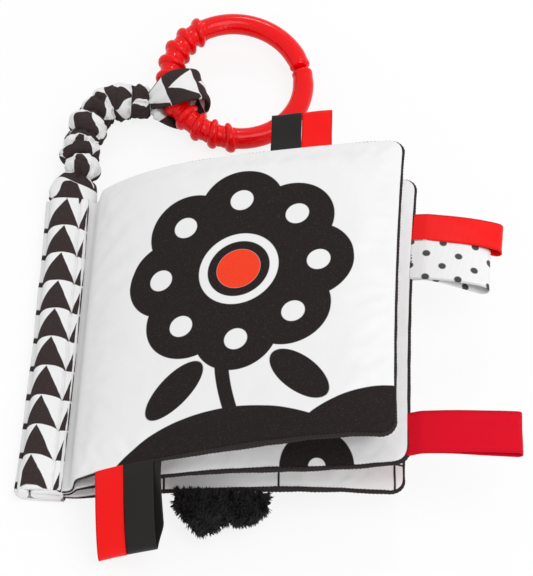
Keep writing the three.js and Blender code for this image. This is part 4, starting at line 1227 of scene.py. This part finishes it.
def strap_radii(share, turn, length):
    """How far the cloth lies to the strap's side and above it, from its centre line. Between
    gathers it swells like a pillow; each gather lies in its own slanting plane, with pleats
    that fade away from it; long soft folds and creases give every puff its own shape."""
    share, turn = share[:, None], turn[None, :]
    round_x, round_y = np.cos(turn), np.sin(turn)
    lean = np.interp(share, GATHERS, GATHER_SLANTS)
    spin = np.interp(share, GATHERS, GATHER_TURNS)
    slant = share + lean * 0.030 * np.cos(turn - spin)
    slant = slant + 0.006 * ripple(72, share * 30, round_x * 2, round_y * 2)
    puff = np.clip(np.searchsorted(GATHERS, slant, side="right") - 1, 0, len(PUFF_SIZES) - 1)
    low, high = GATHERS[puff], GATHERS[puff + 1]
    inside = np.clip((slant - low) / (high - low), 0, 1)
    swell = np.sin(np.pi * inside) ** 0.55
    radius = lerp(np.interp(slant, GATHERS, NECKS), PUFF_SIZES[puff] * PUFF_DIAMETER / 2, swell)
    base_share = np.clip(slant / BASE_END_SHARE, 0, 1)
    bulge = np.sqrt(np.maximum(1 - base_share ** 2.8, 0)) * (1 + 0.14 * np.sin(np.pi * base_share))
    bulge = bulge * (0.84 + 0.16 * smooth_step(0.0, 0.22, base_share))
    on_base = slant < BASE_END_SHARE
    wide, tall = (
        np.where(on_base, lerp(NECKS[0], size / 2, bulge), radius)
        for size in (BASE_PUFF_WIDTH, BASE_PUFF_HEIGHT))
    to_gather = np.abs(slant[..., None] - GATHERS).min(axis=-1) * length
    pleats = np.cos(9 * turn + 9 * share) + 0.6 * np.cos(16 * turn + 2.0)
    folds = FOLD_HEIGHT * ripple(21, share * 30, round_x * 1.9, round_y * 1.9)
    folds = folds * (0.4 + 0.6 * swell)
    first_crease = np.sin(turn - spin * 1.3) - 0.2 - 2.1 * (inside - 0.5)
    second_crease = np.sin(turn + spin * 0.9 + 2.0) + 0.1 + 1.7 * (inside - 0.5)
    crease = bell(first_crease, 0.15) + 0.8 * bell(second_crease, 0.13)
    relief = np.where(on_base, 0.7, 1.0) * (folds - CREASE_DEPTH * crease * swell)
    relief = relief + PLEAT_HEIGHT * bell(to_gather, PLEAT_REACH) * pleats
    standing = bell(share - STANDING_SHARE, 0.017) * bell(turn - STANDING_TURN, 0.55)
    standing = STANDING_HEIGHT * standing
    return wide + relief + standing, tall * 0.97 + relief + standing


def strap_piece(name, span, route, material):
    """A stretch of the gathered strap. It sways sideways between its first puff and its end,
    and is pressed flat where it would meet the floor."""
    path, even = route
    length = even[-1]
    turn, closed_turn = around(84)
    share = np.linspace(*span, int((span[1] - span[0]) * length / STRAP_RING_STEP))
    at = at_distances(share * length, even, path)
    heading, side, rise = path_frames(at, np.array([0.0, 0.0, 1.0]))
    at = at + np.maximum(share - 1, 0)[:, None] * length * heading
    free = smooth_step(BASE_END_SHARE, BASE_END_SHARE + 0.08, share)
    free = free * (1 - smooth_step(0.88, 0.98, share))
    at = at + side * (0.9 * free * ripple(71, share * 27))[:, None]
    rings = oval_rings(at, side, rise, *strap_radii(share, turn, length), turn)
    rings[..., 2] += np.maximum(0.35 - rings[..., 2], 0) * 0.85
    share, closed_turn = share[:, None], closed_turn[None, :]
    sway = 1.9 * ripple(33, share * 24, np.cos(closed_turn), np.sin(closed_turn))
    u = closed_turn / TAU * TRIANGLE_BASE * PRINT_COLUMNS + 3.0 + sway
    v = share * length * GATHERED_CLOTH + 2.5 + sway
    return closed_tube(name, rings, np.stack([u, v], axis=-1), material)


# How much the loop's eye is pinched at the neck, and how much nearer its under side lies.
LOOP_PINCH, LOOP_SKEW = 0.66, 3.4


def loop_band(material):
    """The cloth loop: a flattened tube carried round a drop-shaped path about the ring. Its
    width narrows to the neck, folds run out from there along it, and its under side lies a
    little nearer."""
    count, sides = 220, 48
    angle = np.radians(np.linspace(173, -173, count))
    c, s = np.cos(angle), np.sin(angle)
    stretch = np.where(c < 0, LOOP_EYE_X - 0.6, LOOP_EYE_HALF_LENGTH)
    pinch = 1 - LOOP_PINCH * np.maximum(-c, 0) ** 2.0
    x, z = LOOP_EYE_X + stretch * c, LOOP_EYE_HALF_RISE * s * pinch
    path = np.column_stack([x, np.zeros(count), z])
    heading = unit(np.gradient(path, axis=0))
    out = np.column_stack([-heading[:, 2], np.zeros(count), heading[:, 0]])
    spread = np.sin(np.pi / 2 * np.clip(x / LOOP_EYE_X, 0.02, 1))[:, None] ** 0.8
    near_neck = 1 - spread
    half_width = LOOP_BAND_WIDTH / 2 * lerp(0.42, 1.12, spread)
    share = np.linspace(0, 1, count)[:, None]
    flat, thick = rounded_box(around(sides)[0], 3.4)
    waves = np.cos(7.5 * flat + 1.5 * np.sin(9 * share) + 0.6)
    fold = (0.35 + 0.75 * near_neck) * waves * 0.62
    fold = fold + 0.35 * ripple(41, share * 9, flat[None, :] * 1.6)
    away = (0.85 + 0.75 * near_neck) * thick + fold
    local = path[:, None] + out[:, None] * away[..., None]
    local[..., 1] = half_width * flat - LOOP_SKEW * smooth_step(0.42, 0.8, share)
    tilt = math.radians(LOOP_ANGLE - 180)
    x, y = local[..., 0] - LOOP_PIVOT_RADIUS, local[..., 1]
    turned = np.stack([
        x * math.cos(tilt) - y * math.sin(tilt), x * math.sin(tilt) + y * math.cos(tilt),
        local[..., 2]], axis=-1)
    u = np.append(flat, flat[:1]) * half_width + 6.0
    v = np.broadcast_to(distances(path)[:, None] + 4.0, u.shape)
    return closed_tube("loop_band", ring_frame(turned), np.stack([u, v], axis=-1), material)


# The ring's ends are rounded and its ribs rise over these distances, in millimetres.
END_ROUNDING, RIB_HALF_LENGTH = 1.7, 1.6


def moulded_ring(material):
    """A round tube bent into a split ring. Eleven round ribs stand out along its grip, leaning
    towards the middle of the grip on the inside; both ends are rounded off."""
    tube, rib = RING_TUBE_DIAMETER / 2, RIB_DIAMETER / 2
    radius = RING_OUTER_DIAMETER / 2 - tube
    turn, closed_turn = around(48)
    gap = math.degrees(RING_SPLIT_GAP / 2 / radius)
    angle = np.linspace(RING_SPLIT_ANGLE + gap, RING_SPLIT_ANGLE + 360 - gap, 900)
    middle = (FIRST_RIB_ANGLE + LAST_RIB_ANGLE) / 2
    spread = (LAST_RIB_ANGLE - FIRST_RIB_ANGLE) / 2
    pitch = 2 * spread / (RIB_COUNT - 1)
    to_end = np.minimum(angle - angle[0], angle[-1] - angle) * math.radians(1) * radius
    rounding = np.sqrt(np.clip(1 - (1 - np.clip(to_end / END_ROUNDING, 0, 1)) ** 2.4, 0, 1))
    body = tube * np.maximum(rounding, 0.04) * (1 - 0.04 * bell(to_end - 3.4, 1.6))
    rib_number = np.clip(np.round((angle - FIRST_RIB_ANGLE) / pitch), 0, RIB_COUNT - 1)
    nearest = FIRST_RIB_ANGLE + pitch * rib_number
    off = np.abs(angle - nearest) * math.radians(1) * radius
    ridge = np.clip(1 - (off / RIB_HALF_LENGTH) ** 2, 0, 1) ** 0.55
    foot = 0.12 * bell(off - 2.0, 0.7)
    size = (body + (rib - tube) * np.clip(ridge + foot, 0, 1))[:, None]
    bias = np.clip((angle - middle) / spread, -1.15, 1.15)
    fade = 1 - smooth_step(spread + 2.0, spread + 9.0, np.abs(angle - middle))
    lean = (math.radians(RIB_LEAN_ANGLE) * bias * fade)[:, None]
    outwards = size * np.cos(turn)
    phi = np.radians(angle)[:, None] + outwards * np.tan(lean) / radius
    place = radius + outwards
    rings = np.stack([place * np.cos(phi), place * np.sin(phi), size * np.sin(turn)], axis=-1)
    cloth = pairs(np.radians(angle) * radius, closed_turn * tube)
    return closed_tube("ribbed_ring", ring_frame(rings), cloth, material)


# Ribbon tags

# In millimetres: how far from the edging a tag's seam is, half the way between its two layers
# there, how far they run into the seam, and the ribbon's thickness.
RIBBON_SEAT_GAP = 0.4
RIBBON_ROOT_HALF = 0.3
RIBBON_TUCK = 4.4
RIBBON_THICKNESS = 0.4


def edge_seat(leaf, along, across, edge):
    """A seat on a leaf's edging: the point at a distance along the edge from its middle, and
    unit vectors out of the page, along the edge and up from its face."""
    offset = EDGING_GAP + EDGING_DIAMETER / 2

    def spot(beside):
        return {
            "near": (along + beside, -HALF_HEIGHT - offset),
            "far": (along + beside, HALF_HEIGHT + offset),
            "free": (leaf.length + offset, across + beside),
        }[edge]

    onward, sideways, up = leaf.directions(*spot(0.0))
    out = {"near": -sideways, "far": sideways, "free": onward}[edge]
    wide = sideways if edge == "free" else onward
    return (lambda beside: leaf.place(*spot(beside))), unit(out - wide * (out @ wide)), wide, up


def ribbon_outline(length, opening):
    """A folded ribbon from the side: how far out and how high its middle runs, from the upper
    layer's root round the fold to the lower layer's, and 1 on the upper layer, -1 on the lower
    one and between them round the fold."""
    half = opening / 2 + RIBBON_ROOT_HALF
    fold = min(half * 1.3, length / 3)
    straight = length - fold
    run = np.linspace(-RIBBON_TUCK, straight, 44)
    gap = lerp(RIBBON_ROOT_HALF, half, smooth_step(0, straight, run))
    cap = np.radians(np.linspace(0, 180, 24))[1:-1]
    layer = np.ones(len(run))
    forward = np.concatenate([run, straight + fold * np.sin(cap), run[::-1]])
    height = np.concatenate([gap, half * np.cos(cap), -gap[::-1]])
    return forward, height, np.concatenate([layer, np.cos(cap), -layer])


def ribbon_tag(name, seat, material, width, length, opening, droop, shift, skew, seed):
    """A ribbon folded into a loop. Its two layers leave the seam together, part towards the
    fold and droop along an arc; the lower layer may lie to one side, and both ripple a little.
    It leaves in the page's plane and then bends down, more straight down than off the page."""
    on_edge, out, wide, up = seat
    upright = np.array([0.0, 0.0, 1.0])
    level = unit(lerp(up, unit(upright - out * (out @ upright)), 0.75))
    forward, height, upper = ribbon_outline(length, opening)
    start, end = (math.radians(angle) for angle in droop)
    steps = np.linspace(-RIBBON_TUCK - 1, length + 2, 400)
    stride = steps[1] - steps[0]
    bend = start * smooth_step(0, 2.5, steps) + (end - start) * np.maximum(steps, 0) / length
    rise_line = -np.cumsum(np.sin(bend)) * stride
    ahead_line = np.cumsum(np.cos(bend)) * stride
    ahead_line = ahead_line - np.interp(0, steps, ahead_line)
    across = np.linspace(-width / 2, width / 2, 15)
    rate_d, rate_h = np.gradient(forward), np.gradient(height)
    size = np.hypot(rate_d, rate_h)
    reach = forward / length
    sideways = skew * (1 - smooth_step(-1, 1, upper * 1.2)) * (1 - smooth_step(0.72, 1.05, reach))
    drift = 0.25 * ripple(seed, across[None, :] * 0.35, forward[:, None] * 0.18)
    drift = drift * smooth_step(0, 0.5, reach)[:, None]

    def layer(sign):
        d = forward + sign * RIBBON_THICKNESS / 2 * rate_h / size
        h = height - sign * RIBBON_THICKNESS / 2 * rate_d / size
        d, h = d[:, None] + 0 * across, h[:, None] + drift
        angle = np.interp(d, steps, bend)
        ahead = np.interp(d, steps, ahead_line) + h * np.sin(angle)
        rise = (np.interp(d, steps, rise_line) + h * np.cos(angle))[..., None]
        ahead = ahead + EDGING_DIAMETER / 2 + RIBBON_SEAT_GAP
        lean = smooth_step(-1, 4, d)[..., None]
        root = on_edge(shift + across) + sideways[:, None, None] * wide
        return root + ahead[..., None] * out + rise * unit(lerp(up, level, lean))

    cloth = pairs(distances(np.column_stack([forward, height])), across)[..., ::-1]
    piece = closed_sheet(name, layer(1), layer(-1), cloth, [material])
    width * MM
    2 * length * MM
    return piece


# Plush tail

# The tail's size and its place along the leaf, how much it swells at even steps along it, and
# its tufts: their least and greatest length and radius, and how much their rings taper.
TAIL_LENGTH, TAIL_DEPTH, TAIL_HEIGHT = 35.0, 15.0, 16.2
TAIL_FROM_TURN = 50.0
TAIL_SWELL_SHARES = [0.3, 0.7, 1.08, 1.22, 1.14, 0.92, 0.8, 0.84, 0.8, 0.66, 0.36]
TUFT_COUNT, TUFT_SEED = 5200, 7
TUFT_LENGTHS, TUFT_RADII = (1.3, 2.6), (0.17, 0.26)
TUFT_TAPER = np.array([1.0, 0.9, 0.62, 0.12])


def tail_surface(seat, share, turn, grow):
    """A point of the tail's swelling body, from the share of its length and the turn round it.
    Where it is thin it keeps to the leaf."""
    on_edge, _, wide, _ = seat
    level = unit(np.array([wide[0], 0.0, 0.0]))
    centre = on_edge(0.0)
    centre[1] -= EDGING_DIAMETER / 2 + RIBBON_SEAT_GAP + TAIL_DEPTH / 2 - 2.9
    centre[2] = TAIL_HEIGHT / 2 + 1.5
    swell = np.interp(share, np.linspace(0, 1, len(TAIL_SWELL_SHARES)), TAIL_SWELL_SHARES)
    away = share - 0.5
    middle = centre + (0.2 + away[..., None] * (TAIL_LENGTH - 4)) * level
    middle[..., 1] += (1 - swell) * 0.42 * TAIL_DEPTH
    depth = swell * TAIL_DEPTH / 2 * grow
    height = np.minimum(swell, 1.0) * TAIL_HEIGHT / 2 * grow
    return middle + np.stack([0 * depth, depth * np.cos(turn), height * np.sin(turn)], axis=-1)


def tail_core(seat, material):
    """The tail's body under its tufts."""
    turn, closed_turn = around(24)
    share = np.linspace(0, 1, 24)
    rings = tail_surface(seat, *np.moveaxis(pairs(share, turn), -1, 0), 0.74)
    return closed_tube("tail_core", rings, np.zeros((len(share), len(closed_turn), 2)), material)


def tail_tufts(seat, material):
    """Thousands of short curved tufts. A tuft is a thin tapering tube of four rings of four
    points that starts inside the core, leans with its clump and curls at its tip."""
    made = np.random.default_rng(TUFT_SEED)
    share = made.uniform(0, 1, TUFT_COUNT)
    turn = made.uniform(0, TAU, TUFT_COUNT)
    root = tail_surface(seat, share, turn, 0.7)
    x, y, z = root.T
    ends = np.zeros((TUFT_COUNT, 3))
    ends[:, 0] = np.where(share < 0.08, -1, np.where(share > 0.92, 1, 0)) * 0.8
    out = unit(unit(tail_surface(seat, share, turn, 1.0) - root) + ends)
    clump = np.stack([
        ripple(51, x * 0.9, z * 0.7), ripple(52, x * 0.8, y * 0.9), ripple(53, y * 0.8, z * 0.8)], -1)
    lean = unit(out + 0.75 * clump + 0.25 * made.normal(size=(TUFT_COUNT, 3)))
    curl = unit(lean + 0.9 * clump[:, [2, 0, 1]] - 0.25 * np.array([0, 0, 1]))
    length = made.uniform(*TUFT_LENGTHS, TUFT_COUNT)[:, None]
    path = np.stack([
        root, root + lean * length * 0.55, root + (lean + curl) * length * 0.52,
        root + (lean + 1.5 * curl) * length * 0.5], axis=1)
    size = made.uniform(*TUFT_RADII, TUFT_COUNT)[:, None] * TUFT_TAPER
    side = unit(np.cross(lean, np.array([0.3, 0.5, 0.8])))
    other = np.cross(side, lean)
    spots = np.radians([0, 90, 180, 270])[:, None]
    rings = path[:, :, None] + size[..., None, None] * (
        side[:, None, None] * np.cos(spots) + other[:, None, None] * np.sin(spots))
    rings[..., 2] = np.maximum(rings[..., 2], 0.12)
    first = np.arange(TUFT_COUNT) * 16
    ring = first[:, None, None] + (np.arange(3) * 4)[None, :, None]
    corner = np.arange(4)
    onward = (corner + 1) % 4
    quads = np.stack(
        [ring + corner, ring + 4 + corner, ring + 4 + onward, ring + onward], axis=-1).reshape(-1, 4)
    climb = np.tile(np.repeat([0, 1 / 3, 2 / 3], 4), TUFT_COUNT)
    cloth = np.zeros((len(quads), 4, 2))
    cloth[:, :, 1] = climb[:, None] + np.array([0, 1 / 3, 1 / 3, 0])
    bottoms, tips = first[:, None] + np.arange(4), first[:, None] + np.arange(15, 11, -1)
    ends_cloth = np.zeros((TUFT_COUNT, 4, 2))
    patches = [(quads, cloth, 0), (bottoms, ends_cloth, 0), (tips, ends_cloth + [0, 1], 0)]
    return make_piece("tail_tufts", rings.reshape(-1, 3), patches, [material])


# Assembly

add_camera()
add_lights()
add_world()
add_floor()

pile = node_group("short_pile", {}, short_pile)
triangles = node_group(
    "triangle_print", {"U": 0, "V": 0, "Base": TRIANGLE_BASE, "Height": TRIANGLE_HEIGHT, "Size": 1.0},
    triangle_print)
dots = node_group(
    "dot_print", {"U": 0, "V": 0, "Pitch": 11.4, "Row": 5.2, "Radius": 1.35}, dot_print)
satin = node_group("satin_weave", {"U": 0, "V": 0, "Half Width": 5.5}, satin_weave)
tape = node_group("tape_weave", {"U": 0, "V": 0, "Half Width": 8.5}, tape_weave)
thread = thread_material()
fleece = fleece_material("printed_fleece", triangles, pile, Base=12.6, Height=12.15)
fleece_back = plain_cloth_material("fleece_reverse", pile)
strap_cloth = fleece_material("strap_fleece", triangles, pile, Size=1.13)

PAGE_PRINTS = {
    "front_leaf": (bloom_print, wave_print), "middle_leaf": (hills_print, ring_print),
    "back_leaf": (check_print, spot_print),
}
# The lines in metres along which an outer leaf's cloth passes from the spine to the leaf.
BLEND_LINES = {
    "front_leaf": ((0.0115, 0, 0.009), (0.0185, 0, 0.0215)),
    "back_leaf": ((0.0100, 0, 0.003), (0.0185, 0, 0.003)),
}
leaves = {name: Leaf(name) for name in LEAVES}
bodies = []
for name, leaf in leaves.items():
    pages = [
        page_material(f"{name}_{side}_cloth", page_print_group(f"{name}_{side}_print", motif), pile)
        for side, motif in zip(("front", "back"), PAGE_PRINTS[name])
    ]
    bodies.append(leaf_body(leaf, pages))
swell_leaves(bodies)
for (body, _), (name, leaf) in zip(bodies, leaves.items()):
    subdivide(body)
    edging = leaf_edging(leaf, thread)
    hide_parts(f"{name}_front_panel", f"{name}_back_panel", f"{name}_wadding", f"{name}_margin")
    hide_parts(f"{name}_edging")
    for piece in (body, edging):
        if name in BLEND_LINES:
            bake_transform(piece)
        else:
            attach(piece, "spine")

sleeve = spine_sleeve([fleece, fleece_back])
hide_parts("spine_sleeve")
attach(sleeve, "spine")
for piece in sleeve_end(fleece_back):
    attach(piece, "spine")

route = strap_route()
strap_root = strap_piece("strap_root_cloth", (0.0, 0.4), route, strap_cloth)
strap_end = strap_piece("strap_end_cloth", (0.39, 1.02), route, strap_cloth)
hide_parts("strap_base", "strap_lower", "elastic_lower")
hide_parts("strap_upper", "elastic_upper")
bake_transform(strap_root)
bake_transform(strap_end)

band = loop_band(strap_cloth)
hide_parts("strap_loop")
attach(band, "end_loop")
ring = moulded_ring(ring_material())
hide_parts("ring")
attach(ring, "split_ring")

satin_red = satin_material("red_satin", satin, RIBBON_RED, 5.5)
satin_black = satin_material("black_satin", satin, RIBBON_BLACK, 5.5)
satin_dotted = satin_material("dotted_satin", satin, WHITE_CLOTH, 8.75, dots)
side_red = satin_material("side_red_satin", satin, RIBBON_RED, 6.0)
woven_red = tape_material(tape)
top_seat = edge_seat(leaves["front_leaf"], 79.5, 0, "far")
bottom_seat = edge_seat(leaves["front_leaf"], 18.6, 0, "near")
side_seat = edge_seat(leaves["middle_leaf"], 0, 33.0, "free")
woven_seat = edge_seat(leaves["middle_leaf"], 0, -48.8, "free")
NARROW, SIDE, DOTTED, WOVEN = 11.0, 12.0, 17.5, 17.0
# Each tag's body, seat, material, slot, width, length, opening at its fold, droop in degrees at
# its start and its end, shift from its seat, and how far its lower layer lies to one side.
TAGS = [
    ("black_top", top_seat, satin_black, "black_ribbon", NARROW, 12.6, 2, (4, -6), -5.6, 0),
    ("red_top", top_seat, satin_red, "red_ribbon", NARROW, 12.6, 2, (4, -6), 5.6, 0),
    ("red_bottom", bottom_seat, satin_red, "red_ribbon", NARROW, 28.4, 6, (18, 54), -5.7, 2.6),
    ("black_bottom", bottom_seat, satin_black, "black_ribbon", NARROW, 28.4, 6, (18, 54), 5.7, 2.6),
    ("red_side", side_seat, side_red, "red_ribbon", SIDE, 28.8, 3.2, (12, 30), 5.4, 0),
    ("dotted_side", side_seat, satin_dotted, "dotted_ribbon", DOTTED, 24.8, 3.8, (14, 32), -8.95, 0),
    ("woven_side", woven_seat, woven_red, "red_tape", WOVEN, 35.4, 2, (18, 28), -1.6, 0),
]
for seed, (name, seat, finish, slot, *sizes) in enumerate(TAGS, 60):
    tag = ribbon_tag(f"{name}_ribbon", seat, finish, *sizes, seed)
    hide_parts(f"{name}_tag")
    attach(tag, name)

tail_seat = edge_seat(leaves["back_leaf"], TAIL_FROM_TURN, 0, "near")
plush = plush_material()
core = tail_core(tail_seat, plush)
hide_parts("plush_tail")
for piece in (core, tail_tufts(tail_seat, plush)):
    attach(piece, "tail")

bpy.context.scene.view_settings.view_transform = "Standard"
